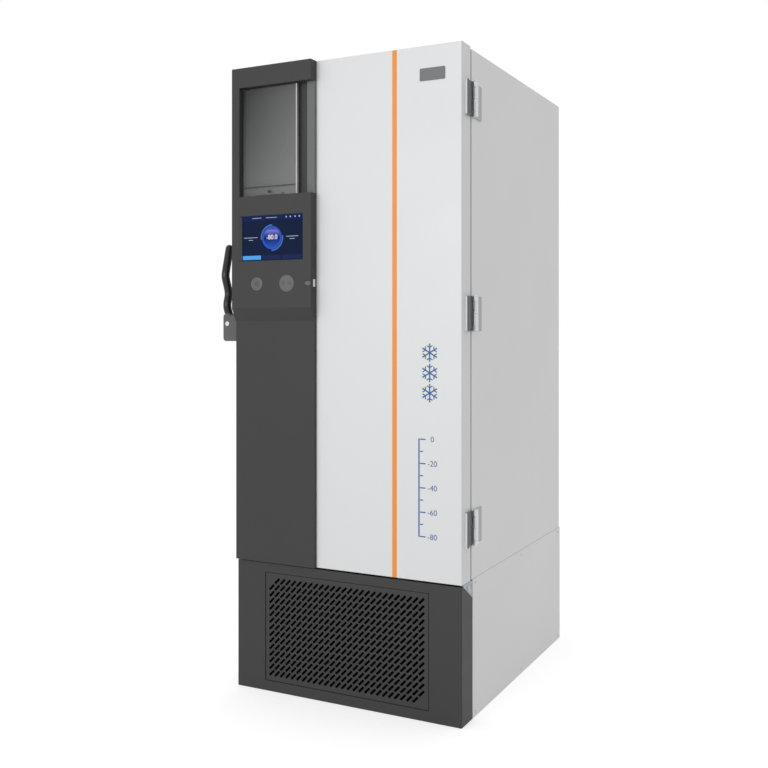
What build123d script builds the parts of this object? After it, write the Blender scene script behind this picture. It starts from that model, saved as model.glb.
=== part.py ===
from build123d import *
from math import atan2, cos, degrees, radians, sin
import os

os.makedirs("parts", exist_ok=True)

# Upright ultra low temperature freezer, in millimetres.
# X runs to the right, Y to the rear and Z up. The origin is the centre of the base footprint on the floor.

# Whole freezer
width = 780.0
depth = 950.0
height = 1980.0
base_height = 412.0
cabinet_top_drop = 6.0
floor_gap = 1.0
seam = 1.0
sheet = 1.2
corner_radius = 12.0

# Insulated cabinet
wall_side = 145.0
wall_top = 145.0
wall_bottom = 145.0
wall_rear = 145.0
liner_sheet = 1.0
liner_radius = 16.0
coil_space = 10.0
coil_set_back = 40.0
frame_depth = 18.0
floor_plate = 3.0

# Outer door
door_thickness = 66.0
door_gap = 9.0
door_bottom_drop = 1.0
door_edge_radius = 2.5
liner_step = 6.0
liner_plate = 2.0
gasket_width = 24.0
gasket_overlap = 30.0
body_clearance = 0.3

# Dark column on the door
column_width = 295.0
lower_proud = 11.0
console_proud = 34.4
console_drop = 805.0
slope_rise = 41.5
console_height = 395.0
cap_height = 63.0
stile_width = 29.5
column_radius = 1.5

# Window bay
bay_back_proud = 3.0
sill_height = 30.0
sill_proud = 4.5
rail_width = 27.0
rail_proud = 12.0
rail_radius = 1.0
flap_width = 210.0
flap_thickness = 4.0
flap_proud = 14.0
flap_clearance = 2.0
flap_pin_radius = 1.0
flap_pin_length = 8.0
bore_spare = 1.0
tab_width = 99.0
tab_height = 6.0
tab_depth = 8.0

# Display and controls
screen_left = 32.0
screen_width = 235.0
screen_height = 145.5
screen_rise = 188.5
screen_recess = 10.0
bezel_wall = 1.6
glass_thickness = 3.0
control_rise = 117.0
button_offset = 96.3
button_radius = 21.0
button_proud = 1.2
button_travel = 2.0
button_skirt = 3.0
button_cap = 6.0
reader_offset = 207.3
reader_radius = 26.3
reader_proud = 1.0
lamp_offset = 237.0
lamp_rise = 367.0
lamp_radius = 2.6
lamp_proud = 0.4
port_height = 23.0
port_depth = 12.0
port_proud = 0.6
port_set_back = 13.0
console_wall = 3.0

# Lever handle and lock
hub_width = 54.0
hub_height = 90.0
hub_depth = 64.0
hub_front = 2.0
hub_drop = 20.0
hub_radius = 12.0
mount_thickness = 4.0
mount_set_back = 12.0
mount_rear_gap = 4.0
mount_end_gap = 2.0
mount_radius = 6.0
shaft_radius = 8.0
shaft_clearance = 0.05
grip_radius = 13.0
grip_offset = 40.0
grip_length = 250.0
grip_wave = 9.5
grip_bend = 40.0
grip_rises = (0.0, 1.0, 2.1, 3.6, 6.0)
grip_swings = (-0.6, 0.7, -1.5, 1.0)
lock_radius = 7.0
lock_length = 20.0
lock_proud = 2.0
lock_rise = 12.0
keyway_width = 2.0
keyway_height = 10.0
keyway_depth = 5.0
claw_thickness = 10.0
claw_length = 46.0
claw_height = 22.0
claw_inset = 8.0
claw_root = 1.0
strike_plate = 3.0
strike_set_back = 24.0
strike_ahead = 16.0
strike_behind = 34.0
strike_reach = 40.0
strike_radius = 5.0
strike_pin_radius = 5.0
strike_pin_length = 26.0

# Door hinges
hinge_inset = 155.0
hinge_height = 102.0
hinge_short_knuckle = 15.0
hinge_axis_out = 12.0
hinge_axis_set_back = 78.0
barrel_radius = 8.0
hinge_pin_radius = 3.5
running_clearance = 0.05
leaf_thickness = 6.0
leaf_front = 24.0
bead_radius = 5.0
bead_sink = 1.0
leaf_clearance = 1.0
strap_out = 0.6
strap_along = 0.8
cabinet_leaf_thickness = 3.0
cabinet_leaf_length = 74.0
knuckle_gap = 0.4
pin_head = 3.0
pin_head_radius = 2.0

# Inner doors and shelves
inner_door_thickness = 32.0
inner_door_set_back = 15.0
inner_door_side_gap = 5.0
inner_door_gap = 7.0
inner_door_rim = 26.0
inner_door_step = 3.0
finger_tab_inset = 6.0
finger_tab_proud = 6.0
finger_tab_height = 90.0
finger_tab_radius = 3.0
pivot_inset = 8.0
pivot_radius = 3.0
pivot_depth = 14.0
pivot_plate = 3.0
compartments = 4
shelf_thickness = 1.5
shelf_lip = 18.0
shelf_side_gap = 2.0
shelf_rear_gap = 10.0
bracket_ledge = 14.0
bracket_leg = 22.0
bracket_sheet = 2.0

# Base compartment
pan_thickness = 3.0
pan_wall = 25.0
post_size = 40.0
post_sheet = 3.0
panel_front = 84.0
fascia_depth = 82.0
fascia_drop = 6.0
fascia_wall = 3.0
fascia_flat = 9.7
fascia_slope_drop = 55.0
fascia_radius = 3.0
fascia_tab = 24.0
gusset_lift = 2.0
screw_radius = 4.0
screw_head = 1.4
screw_inset = 24.0
screw_edge = 14.5

# Slotted grille insert
grille_side_gap = 106.35
grille_top_gap = 36.0
grille_offset = 0.85
grille_bottom = 35.0
grille_thickness = 3.0
grille_groove = 2.0
grille_recess = 1.2
grille_ledge = 7.0
grille_frame = 12.0
frame_lap = 4.0
slot_margin = 12.0
slot_pitch_x = 20.1
slot_pitch_z = 20.9
slot_length = 23.0
slot_width = 6.6
filter_thickness = 8.0
filter_margin = 3.0

# Refrigeration machinery
condenser_width = 520.0
condenser_depth = 60.0
condenser_headroom = 112.0
core_inset = 3.0
condenser_front = 92.0
condenser_rise = 12.0
end_plate = 3.0
fan_border = 20.0
fan_set_back = 10.0
fan_edge = 6.0
fan_shaft_start = 4.0
fan_tip_gap = 6.0
fan_hub_radius = 34.0
fan_depth = 34.0
fan_blades = 5
fan_blade_thickness = 2.0
fan_chord = 66.0
fan_pitch = 28.0
shroud_plate = 2.0
shroud_ring_depth = 30.0
motor_radius = 42.0
motor_length = 62.0
motor_shaft_radius = 5.0
motor_arm = 12.0
motor_arm_radius = 4.0
motor_gap = 6.0
motor_edge = 8.0
compressor_radius = 98.0
compressor_body = 150.0
compressor_dome = 48.0
compressor_spacing = 330.0
compressor_set_back = 560.0
compressor_foot = 210.0
foot_sheet = 4.0
grommet_radius = 12.0
grommet_height = 16.0
terminal_width = 60.0
terminal_depth = 50.0
terminal_rise = 60.0
terminal_height = 70.0
control_box_width = 250.0
control_box_depth = 90.0
control_box_height = 220.0
control_box_gap = 6.0
control_box_radius = 4.0
louvre_rows = 9
louvre_width = 220.0
louvre_slot = 6.0
louvre_pitch = 24.0
inlet_width = 50.0
inlet_height = 32.0
inlet_proud = 3.0
inlet_floor = 1.0
inlet_side_border = 9.0
inlet_end_border = 6.0
inlet_radius = 4.0
pipe_radius = 5.0
pipe_bend = 18.0
boss_length = 14.0
exchanger_width = 100.0
exchanger_depth = 150.0
exchanger_height = 260.0
coil_radius = 4.0
coil_turns = 6

# Planes and levels that follow from the sizes above
half_width = width / 2
door_front = -depth / 2
rear = depth / 2
door_rear = door_front + door_thickness
cabinet_front = door_rear + door_gap
cabinet_top = height - cabinet_top_drop
cabinet_bottom = base_height + seam
door_bottom = base_height - door_bottom_drop
inside_left = -half_width + wall_side
inside_right = half_width - wall_side
inside_bottom = cabinet_bottom + wall_bottom
inside_top = cabinet_top - wall_top
inside_rear = rear - wall_rear
liner_front = cabinet_front + frame_depth
panel_y = door_front + panel_front
column_left = -half_width
column_right = column_left + column_width
console_front = door_front - console_proud
lower_front = door_front - lower_proud
bay_left = column_left + stile_width
console_bottom = height - console_drop
console_top = console_bottom + console_height
cap_bottom = height - cap_height
screen_bottom = console_bottom + screen_rise
control_height = console_bottom + control_rise
lamp_height = console_bottom + lamp_rise
hub_centre_height = console_bottom - hub_drop
fascia_slope_end = base_height - fascia_slope_drop
grille_width = width - 2 * grille_side_gap
grille_height = base_height - grille_bottom - grille_top_gap
slot_columns = int((grille_width - 2 * slot_margin) / slot_pitch_x)
slot_rows = int((grille_height - 2 * slot_margin) / slot_pitch_z)
condenser_height = base_height - condenser_headroom
fan_radius = condenser_height / 2 - fan_border


def block(x0, x1, y0, y1, z0, z1):
    """A box between two corners."""
    centre = Pos((x0 + x1) / 2, (y0 + y1) / 2, (z0 + z1) / 2)
    return centre * Box(x1 - x0, y1 - y0, z1 - z0)


def rod(start, end, radius):
    """A round bar from one point to another."""
    axis = Vector(*end) - Vector(*start)
    plane = Plane(origin=start, z_dir=axis)
    return extrude(plane * Circle(radius), axis.length)


def side_profile(points, x0, x1):
    """A shape drawn in Y and Z, carried across from x0 to x1."""
    face = make_face(Polyline([(x0, y, z) for y, z in points], close=True))
    return extrude(face, x1 - x0, dir=(1, 0, 0))


def plan_profile(points, z0, z1):
    """A shape drawn in X and Y, carried up from z0 to z1."""
    face = make_face(Polyline([(x, y, z0) for x, y in points], close=True))
    return extrude(face, z1 - z0, dir=(0, 0, 1))


def save(name, shape):
    """Writes one sub-part to its own file."""
    export_step(shape, f"parts/{name}.step")


# Cabinet wrapper, top panel and insulation
def cabinet_plan(inset):
    """The cabinet's outline in plan, with rounded rear corners."""
    x = half_width - inset
    y = rear - inset
    radius = corner_radius - inset
    lines = Polyline((-x, y - radius), (-x, cabinet_front), (x, cabinet_front), (x, y - radius))
    right = RadiusArc((x, y - radius), (x - radius, y), -radius)
    back = Line((x - radius, y), (-x + radius, y))
    left = RadiusArc((-x + radius, y), (-x, y - radius), -radius)
    return make_face(lines + right + back + left)


def cabinet_volume(inset, z0, z1):
    """The cabinet's solid outline between two levels."""
    return Pos(0, 0, z0) * extrude(cabinet_plan(inset), z1 - z0)


foam_top = cabinet_top - sheet
foam_volume = cabinet_volume(sheet, cabinet_bottom, foam_top)
liner_out = coil_space + liner_sheet
liner_left = inside_left - liner_sheet
liner_right = inside_right + liner_sheet


def cabinet_wrapper():
    """Both sides and the back in one folded sheet."""
    shell = cabinet_volume(0, cabinet_bottom, cabinet_top)
    return shell - cabinet_volume(sheet, cabinet_bottom, cabinet_top)


def insulation(x0, x1, y0, y1, z0, z1):
    """One insulated wall, trimmed to the inside of the wrapper."""
    return foam_volume & block(x0, x1, y0, y1, z0, z1)


def wall_insulation():
    """Five insulated walls, with the coil space beside and behind the liner."""
    left = inside_left - liner_out
    right = inside_right + liner_out
    back = inside_rear + liner_out
    low = inside_bottom - liner_sheet
    high = inside_top + liner_sheet
    walls = [
        insulation(-half_width, left, liner_front, rear, cabinet_bottom, foam_top),
        insulation(right, half_width, liner_front, rear, cabinet_bottom, foam_top),
        insulation(left, right, back, rear, cabinet_bottom, foam_top),
        insulation(left, right, liner_front, back, cabinet_bottom, low),
        insulation(left, right, liner_front, back, high, foam_top),
    ]
    return Compound([wall.solid() for wall in walls])


def inner_liner():
    """Stainless box, open at the front, with rounded rear corners."""
    outer = block(liner_left, liner_right, liner_front, inside_rear + liner_sheet,
                  inside_bottom - liner_sheet, inside_top + liner_sheet)
    outer = fillet(outer.edges().filter_by(Axis.Z).group_by(Axis.Y)[-1], liner_radius)
    inner = block(inside_left, inside_right, liner_front, inside_rear, inside_bottom, inside_top)
    inner = fillet(inner.edges().filter_by(Axis.Z).group_by(Axis.Y)[-1], liner_radius - liner_sheet)
    return outer - inner


def front_frame():
    """Ring round the opening that the gasket closes on."""
    outer = block(-half_width + sheet, half_width - sheet, cabinet_front, liner_front,
                  cabinet_bottom, foam_top)
    inner = block(inside_left, inside_right, cabinet_front, liner_front, inside_bottom, inside_top)
    return outer - inner


def evaporator_coil():
    """Loops of tube round the sides and back of the liner, in the coil space."""
    x = liner_right + coil_space / 2
    y0 = liner_front + coil_set_back
    y1 = inside_rear + liner_sheet + coil_space / 2
    bend = liner_radius + liner_sheet + coil_radius
    pitch = (inside_top - inside_bottom) / (coil_turns + 1)
    loops = []
    for turn in range(coil_turns):
        z = inside_bottom + pitch * (turn + 1)
        path = FilletPolyline((-x, y0, z), (-x, y1, z), (x, y1, z), (x, y0, z), radius=bend)
        loops.append(sweep(Plane(origin=path @ 0, z_dir=path % 0) * Circle(coil_radius), path))
    return Compound(loops)


save("cabinet_wrapper", cabinet_wrapper())
save("top_panel", cabinet_volume(sheet, foam_top, cabinet_top))
save("wall_insulation", wall_insulation())
save("inner_liner", inner_liner())
save("front_frame", front_frame())


# Shelves, their brackets, and the inner doors
shelf_pitch = (inside_top - inside_bottom) / compartments
shelf_levels = [inside_bottom + shelf_pitch * step for step in range(1, compartments)]
inner_door_front = cabinet_front + inner_door_set_back
inner_door_rear = inner_door_front + inner_door_thickness
shelf_front = inner_door_rear + shelf_rear_gap
bracket_rear = inside_rear - liner_radius
pivot_x = inside_right - inner_door_side_gap - pivot_inset
pivot_y = inner_door_front + pivot_inset
inner_door_height = (inside_top - inside_bottom - 3 * inner_door_gap) / 2
inner_door_levels = [
    inside_bottom + inner_door_gap,
    inside_bottom + 2 * inner_door_gap + inner_door_height,
]


def shelf(level):
    """Folded stainless shelf with lips turned down at the front and back."""
    x0 = inside_left + shelf_side_gap
    x1 = inside_right - shelf_side_gap
    y0 = shelf_front
    y1 = inside_rear - shelf_rear_gap
    tray = block(x0, x1, y0, y1, level, level + shelf_thickness)
    inset = bracket_ledge + 2 * shelf_side_gap
    lip_x0 = inside_left + inset
    lip_x1 = inside_right - inset
    low = level + shelf_thickness - shelf_lip
    front_lip = block(lip_x0, lip_x1, y0, y0 + shelf_thickness, low, level)
    back_lip = block(lip_x0, lip_x1, y1 - shelf_thickness, y1, low, level)
    return tray + front_lip + back_lip


def shelf_brackets():
    """An angle on each side of the liner under every shelf."""
    angles = []
    for level in shelf_levels:
        for side in (-1, 1):
            wall = side * inside_right
            inner = wall - side * bracket_ledge
            leg = wall - side * bracket_sheet
            ledge = block(min(wall, inner), max(wall, inner), shelf_front, bracket_rear,
                          level - bracket_sheet, level)
            upright = block(min(wall, leg), max(wall, leg), shelf_front, bracket_rear,
                            level - bracket_leg, level)
            angles.append(ledge + upright)
    return Compound([angle.solid() for angle in angles])


def inner_door(level):
    """Foam-filled inner door with a raised rim, a finger tab and bores for its pivots."""
    x0 = inside_left + inner_door_side_gap
    x1 = inside_right - inner_door_side_gap
    slab = block(x0, x1, inner_door_front, inner_door_rear, level, level + inner_door_height)
    rim = inner_door_rim
    panel = block(x0 + rim, x1 - rim, inner_door_front, inner_door_front + inner_door_step,
                  level + rim, level + inner_door_height - rim)
    slab -= panel
    middle = level + inner_door_height / 2
    tab = block(x0 + finger_tab_inset, x0 + rim - finger_tab_inset, inner_door_front - finger_tab_proud,
                inner_door_front, middle - finger_tab_height / 2, middle + finger_tab_height / 2)
    slab += fillet(tab.edges().group_by(Axis.Y)[0], finger_tab_radius)
    bore = pivot_radius + running_clearance
    deep = pivot_depth + bore_spare
    slab -= rod((pivot_x, pivot_y, level), (pivot_x, pivot_y, level + deep), bore)
    top = level + inner_door_height
    slab -= rod((pivot_x, pivot_y, top - deep), (pivot_x, pivot_y, top), bore)
    return slab


def inner_door_pivots():
    """Plates on the liner's right wall, with the pins that carry the inner doors."""
    reach = pivot_inset * 1.5
    plates = []
    for seat, pin_up, pin_down in (
        (inner_door_levels[0], True, False),
        (inner_door_levels[1], True, True),
        (inner_door_levels[1] + inner_door_height + inner_door_gap, False, True),
    ):
        top = seat - body_clearance
        if not pin_up:
            top = seat - 2 * body_clearance
        plate = block(pivot_x - reach, inside_right, pivot_y - pivot_inset, pivot_y + reach,
                      top - pivot_plate, top)
        if pin_up:
            plate += rod((pivot_x, pivot_y, top), (pivot_x, pivot_y, top + pivot_depth), pivot_radius)
        if pin_down:
            low = top - pivot_plate
            plate += rod((pivot_x, pivot_y, low - pivot_depth), (pivot_x, pivot_y, low), pivot_radius)
        plates.append(plate)
    return Compound([plate.solid() for plate in plates])


save("shelves", Compound([shelf(level).solid() for level in shelf_levels]))
save("shelf_brackets", shelf_brackets())
save("inner_door_lower", inner_door(inner_door_levels[0]))
save("inner_door_upper", inner_door(inner_door_levels[1]))
save("inner_door_pivots", inner_door_pivots())


# Outer door
def door_skin():
    """Steel tray that makes the door's face and its four edges."""
    outer = block(-half_width, half_width, door_front, door_rear, door_bottom, height)
    outer = fillet(outer.edges().group_by(Axis.Y)[0], door_edge_radius)
    inner = block(-half_width + sheet, half_width - sheet, door_front + sheet, door_rear,
                  door_bottom + sheet, height - sheet)
    inner = fillet(inner.edges().group_by(Axis.Y)[0], door_edge_radius - sheet)
    return outer - inner


def door_core():
    """Foamed insulation that fills the door skin up to the liner plate."""
    core = block(-half_width + sheet, half_width - sheet, door_front + sheet, door_rear - liner_plate,
                 door_bottom + sheet, height - sheet)
    return fillet(core.edges().group_by(Axis.Y)[0], door_edge_radius - sheet)


gasket_outer_x = inside_right + gasket_overlap + gasket_width
gasket_low = inside_bottom - gasket_overlap - gasket_width
gasket_high = inside_top + gasket_overlap + gasket_width


def door_liner():
    """Back plate of the door with a raised field inside the gasket."""
    plate = block(-half_width + sheet, half_width - sheet, door_rear - liner_plate, door_rear,
                  door_bottom + sheet, height - sheet)
    x = inside_right + gasket_overlap - seam
    field = block(-x, x, door_rear, door_rear + liner_step,
                  gasket_low + gasket_width + seam, gasket_high - gasket_width - seam)
    field = fillet(field.edges().group_by(Axis.Y)[-1], liner_step / 2)
    return plate + field


def door_gasket():
    """Magnetic seal round the back of the door."""
    y1 = cabinet_front - body_clearance
    outer = block(-gasket_outer_x, gasket_outer_x, door_rear, y1, gasket_low, gasket_high)
    x = gasket_outer_x - gasket_width
    inner = block(-x, x, door_rear, y1, gasket_low + gasket_width, gasket_high - gasket_width)
    return outer - inner


save("door_skin", door_skin())
save("door_core", door_core())
save("door_liner", door_liner())
save("door_gasket", door_gasket())


# Dark column on the door's left
def soften_front(shape, radius):
    """Rounds the front edges of a column piece."""
    return fillet(shape.edges().group_by(Axis.Y)[0].filter_by(Axis.Z), radius)


def column_lower_panel():
    """Flat cover below the console."""
    cover = block(column_left, column_right, lower_front, door_front, door_bottom, console_bottom)
    return soften_front(cover, column_radius)


screen_x0 = column_left + screen_left
screen_x1 = screen_x0 + screen_width
screen_z1 = screen_bottom + screen_height
button_x = column_left + button_offset
reader_x = column_left + reader_offset
lamp_x = column_left + lamp_offset
port_y0 = console_front + port_set_back
button_seat = console_front + button_cap + button_travel + body_clearance


def console_housing():
    """Moulding with the slanted underside, the display recess and the button well."""
    slope_top = console_bottom + slope_rise
    body = side_profile(
        [
            (door_front, console_bottom),
            (lower_front, console_bottom),
            (console_front, slope_top),
            (console_front, console_top),
            (door_front, console_top),
        ],
        column_left,
        column_right,
    )
    body = soften_front(body, column_radius)
    body -= block(screen_x0, screen_x1, console_front, door_front, screen_bottom, screen_z1)
    well = button_radius + body_clearance
    body -= rod((button_x, console_front, control_height), (button_x, button_seat, control_height), well)
    skirt = well + button_skirt
    skirt_front = console_front + console_wall
    body -= rod((button_x, skirt_front, control_height), (button_x, button_seat, control_height), skirt)
    lamp_back = console_front + console_wall
    body -= rod((lamp_x, console_front, lamp_height), (lamp_x, lamp_back, lamp_height), lamp_radius)
    port = block(column_right - console_wall, column_right, port_y0, port_y0 + port_depth,
                 control_height - port_height / 2, control_height + port_height / 2)
    return body - port


def power_button():
    """Round cap with a skirt that keeps it in its well."""
    front = console_front - button_proud
    back = console_front + button_cap
    cap = rod((button_x, front, control_height), (button_x, back, control_height), button_radius)
    cap = fillet(cap.edges().group_by(Axis.Y)[0], button_proud / 2)
    skirt_front = console_front + console_wall + body_clearance
    skirt = rod((button_x, skirt_front, control_height), (button_x, back, control_height),
                button_radius + button_skirt - body_clearance)
    return cap + skirt


def reader_pad():
    """Round pad on the console."""
    front = console_front - reader_proud
    pad = rod((reader_x, front, control_height), (reader_x, console_front, control_height), reader_radius)
    return fillet(pad.edges().group_by(Axis.Y)[0], reader_proud / 2)


def display_bezel():
    """Pale frame that lines the display recess."""
    y1 = console_front + screen_recess + glass_thickness
    outer = block(screen_x0, screen_x1, console_front + sheet, y1, screen_bottom, screen_z1)
    inner = block(screen_x0 + bezel_wall, screen_x1 - bezel_wall, console_front + sheet, y1,
                  screen_bottom + bezel_wall, screen_z1 - bezel_wall)
    return outer - inner


def display_glass():
    """Touch glass at the bottom of the recess."""
    y0 = console_front + screen_recess
    return block(screen_x0 + bezel_wall, screen_x1 - bezel_wall, y0, y0 + glass_thickness,
                 screen_bottom + bezel_wall, screen_z1 - bezel_wall)


def display_module():
    """Circuit and backlight behind the glass."""
    y0 = console_front + screen_recess + glass_thickness
    return block(screen_x0, screen_x1, y0, door_front, screen_bottom, screen_z1)


def indicator_lamp():
    """Small lens in the console's face."""
    y1 = console_front + console_wall
    return rod((lamp_x, console_front - lamp_proud, lamp_height), (lamp_x, y1, lamp_height), lamp_radius)


def port_cover():
    """Pale cover of the data port on the console's right side."""
    x1 = column_right + port_proud
    cover = block(column_right - console_wall, x1, port_y0, port_y0 + port_depth,
                  control_height - port_height / 2, control_height + port_height / 2)
    return cover


save("column_lower_panel", column_lower_panel())
save("console_housing", console_housing())
save("power_button", power_button())
save("reader_pad", reader_pad())
save("display_bezel", display_bezel())
save("display_glass", display_glass())
save("display_module", display_module())
save("indicator_lamp", indicator_lamp())
save("port_cover", port_cover())


# Window bay in the column
flap_front = door_front - flap_proud - flap_thickness / 2
flap_back = flap_front + flap_thickness
flap_axis_y = (flap_front + flap_back) / 2
flap_top = cap_bottom - flap_clearance
flap_axis_z = flap_top - flap_thickness
flap_x0 = bay_left + flap_clearance
flap_x1 = flap_x0 + flap_width - 2 * flap_clearance
rail_x0 = column_right - rail_width
bay_back = door_front - bay_back_proud


def column_cap():
    """Top block of the column."""
    cap = block(column_left, column_right, console_front, door_front, cap_bottom, height)
    cap = soften_front(cap, column_radius)
    return fillet(cap.edges().group_by(Axis.Z)[-1].group_by(Axis.Y)[0], column_radius)


def window_stile():
    """Upright of the column, left of the bay."""
    stile = block(column_left, bay_left, console_front, door_front, console_top, cap_bottom)
    return fillet(stile.edges().group_by(Axis.Y)[0].filter_by(Axis.Z).sort_by(Axis.X)[0], column_radius)


def bay_back_panel():
    """Recessed back of the bay, above the sill."""
    return block(bay_left, rail_x0, bay_back, door_front, console_top + sill_height + seam, cap_bottom)


def bay_sill():
    """Step along the bottom of the bay."""
    return block(bay_left, rail_x0, door_front - sill_proud, door_front,
                 console_top, console_top + sill_height)


def bay_side_rail():
    """Paler upright that closes the bay on the right, with a catch plate."""
    rail = block(rail_x0, column_right, door_front - rail_proud, door_front, console_top, cap_bottom)
    return soften_front(rail, rail_radius)


def flap_hinge_lugs():
    """Two lugs under the cap, with the pins that carry the flap."""
    lugs = []
    for x0, inward in ((flap_x0 - flap_clearance, 1), (flap_x1 + flap_clearance, -1)):
        x1 = x0 + inward * (flap_clearance - body_clearance)
        low = flap_axis_z - 2 * flap_pin_radius
        lug = block(min(x0, x1), max(x0, x1), flap_front, flap_back, low, cap_bottom)
        pin_end = x1 + inward * flap_pin_length
        lug += rod((x1, flap_axis_y, flap_axis_z), (pin_end, flap_axis_y, flap_axis_z), flap_pin_radius)
        lugs.append(lug)
    return Compound([lug.solid() for lug in lugs])


def bay_flap():
    """Translucent flap with a pull tab, hung from pins at its top corners."""
    low = console_top + flap_clearance
    plate = block(flap_x0, flap_x1, flap_front, flap_back, low, flap_top)
    middle = (flap_x0 + flap_x1) / 2
    tab = block(middle - tab_width / 2, middle + tab_width / 2, flap_front - tab_depth, flap_front,
                low, low + tab_height)
    tab = fillet(tab.edges().group_by(Axis.Y)[0].filter_by(Axis.X), tab_height / 3)
    flap = plate + tab
    bore = flap_pin_radius + running_clearance
    deep = flap_pin_length + bore_spare
    flap -= rod((flap_x0, flap_axis_y, flap_axis_z), (flap_x0 + deep, flap_axis_y, flap_axis_z), bore)
    flap -= rod((flap_x1 - deep, flap_axis_y, flap_axis_z), (flap_x1, flap_axis_y, flap_axis_z), bore)
    return flap


save("column_cap", column_cap())
save("window_stile", window_stile())
save("bay_back_panel", bay_back_panel())
save("bay_sill", bay_sill())
save("bay_side_rail", bay_side_rail())
save("flap_hinge_lugs", flap_hinge_lugs())
save("bay_flap", bay_flap())


# Lever handle, lock and latch
mount_face = -half_width - mount_thickness
hub_x1 = mount_face - body_clearance
hub_x0 = hub_x1 - hub_width
hub_y0 = door_front - hub_front
hub_y1 = hub_y0 + hub_depth
hub_z0 = hub_centre_height - hub_height / 2
hub_z1 = hub_centre_height + hub_height / 2
hub_y = (hub_y0 + hub_y1) / 2
grip_x = -half_width - grip_offset
lock_x = grip_x
lock_z = hub_centre_height + lock_rise
strike_pin_y = cabinet_front + strike_set_back
claw_x1 = hub_x1 - claw_inset
claw_x0 = claw_x1 - claw_thickness
claw_low = hub_centre_height - claw_height / 2
strike_pin_z = claw_low - strike_pin_radius - body_clearance * 2


def handle_mount():
    """Bearing plate on the door's edge."""
    plate = block(mount_face, -half_width, hub_y0 + mount_set_back, door_rear - mount_rear_gap,
                  hub_z0 + mount_end_gap, hub_z1 - mount_end_gap)
    plate = fillet(plate.edges().filter_by(Axis.X), mount_radius)
    bore = shaft_radius + shaft_clearance
    return plate - rod((mount_face, hub_y, hub_centre_height), (-half_width, hub_y, hub_centre_height), bore)


def grip_path():
    """Centre line of the bent grip, from inside the hub to its rounded end."""
    low = hub_z1 - grip_radius
    step = (grip_length - 2 * grip_radius) / grip_rises[-1]
    points = [(grip_x, hub_y0 + grip_radius + claw_root, low)]
    for rise, swing in zip(grip_rises[1:], grip_swings):
        points.append((grip_x, door_front + swing * grip_wave, low + rise * step))
    return FilletPolyline(points, radius=grip_bend)


def handle_lever():
    """Hub block, bent grip, pivot shaft and latch claw in one moulding."""
    hub = block(hub_x0, hub_x1, hub_y0, hub_y1, hub_z0, hub_z1)
    hub = fillet(hub.edges().filter_by(Axis.X), hub_radius)
    hub = fillet(hub.edges().group_by(Axis.X)[0], hub_radius / 3)
    path = grip_path()
    grip = sweep(Plane(origin=path @ 0, z_dir=path % 0) * Circle(grip_radius), path)
    grip += Pos(path @ 1) * Sphere(grip_radius)
    shaft_end = -half_width - body_clearance
    shaft = rod((hub_x1, hub_y, hub_centre_height), (shaft_end, hub_y, hub_centre_height), shaft_radius)
    claw = block(claw_x0, claw_x1, hub_y1 - claw_root, hub_y1 + claw_length,
                 claw_low, claw_low + claw_height)
    claw = fillet(claw.edges().filter_by(Axis.X).group_by(Axis.Y)[-1], claw_height / 3)
    lever = hub + grip + shaft + claw
    bore = lock_radius + running_clearance
    return lever - rod((lock_x, hub_y0, lock_z), (lock_x, hub_y0 + lock_length, lock_z), bore)


def lock_plug():
    """Key cylinder in the hub's front, with its keyway."""
    y0 = hub_y0 - lock_proud
    plug = rod((lock_x, y0, lock_z), (lock_x, hub_y0 + lock_length - body_clearance, lock_z), lock_radius)
    keyway = block(lock_x - keyway_width / 2, lock_x + keyway_width / 2, y0, y0 + keyway_depth,
                   lock_z - keyway_height / 2, lock_z + keyway_height / 2)
    return plug - keyway


def latch_strike():
    """Plate and pin on the cabinet's side that the claw draws on."""
    x0 = -half_width - strike_plate
    plate = block(x0, -half_width, strike_pin_y - strike_ahead, strike_pin_y + strike_behind,
                  strike_pin_z - strike_reach, strike_pin_z + strike_reach)
    plate = fillet(plate.edges().filter_by(Axis.X), strike_radius)
    end = (x0 - strike_pin_length, strike_pin_y, strike_pin_z)
    return plate + rod((x0, strike_pin_y, strike_pin_z), end, strike_pin_radius)


save("handle_mount", handle_mount())
save("handle_lever", handle_lever())
save("lock_plug", lock_plug())
save("latch_strike", latch_strike())


# Door hinges
axis_x = half_width + hinge_axis_out
axis_y = door_front + hinge_axis_set_back
leaf_gap = barrel_radius + leaf_clearance
hinge_levels = [door_bottom + hinge_inset, (door_bottom + height) / 2, height - hinge_inset]
long_knuckle = hinge_height / 2 - hinge_short_knuckle


def knuckle_spans(level):
    """Heights of the four knuckles, from the top one down."""
    top = level + hinge_height / 2
    cuts = [top, top - hinge_short_knuckle, level, level - long_knuckle, level - hinge_height / 2]
    return [(cuts[i + 1], cuts[i]) for i in range(4)]


def door_leaf(level):
    """Strap on the door's edge with a round bead at its front and two knuckles."""
    z0 = level - hinge_height / 2
    z1 = level + hinge_height / 2
    face = half_width + leaf_thickness
    y0 = door_front + leaf_front
    leaf = block(half_width, face, y0, axis_y - leaf_gap, z0, z1)
    bead_y = y0 + bead_radius
    leaf += rod((face - bead_sink, bead_y, z0), (face - bead_sink, bead_y, z1), bead_radius)
    for z_low, z_high in knuckle_spans(level)[0::2]:
        low = z_low + knuckle_gap / 2
        high = z_high - knuckle_gap / 2
        leaf += rod((axis_x, axis_y, low), (axis_x, axis_y, high), barrel_radius)
        leaf += plan_profile(
            [
                (half_width + leaf_clearance, axis_y - leaf_gap - leaf_clearance),
                (face, axis_y - leaf_gap - leaf_clearance),
                (axis_x + barrel_radius * strap_out, axis_y - barrel_radius * strap_along),
                (axis_x, axis_y),
                (axis_x - barrel_radius, axis_y),
            ],
            low,
            high,
        )
    return leaf


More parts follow.
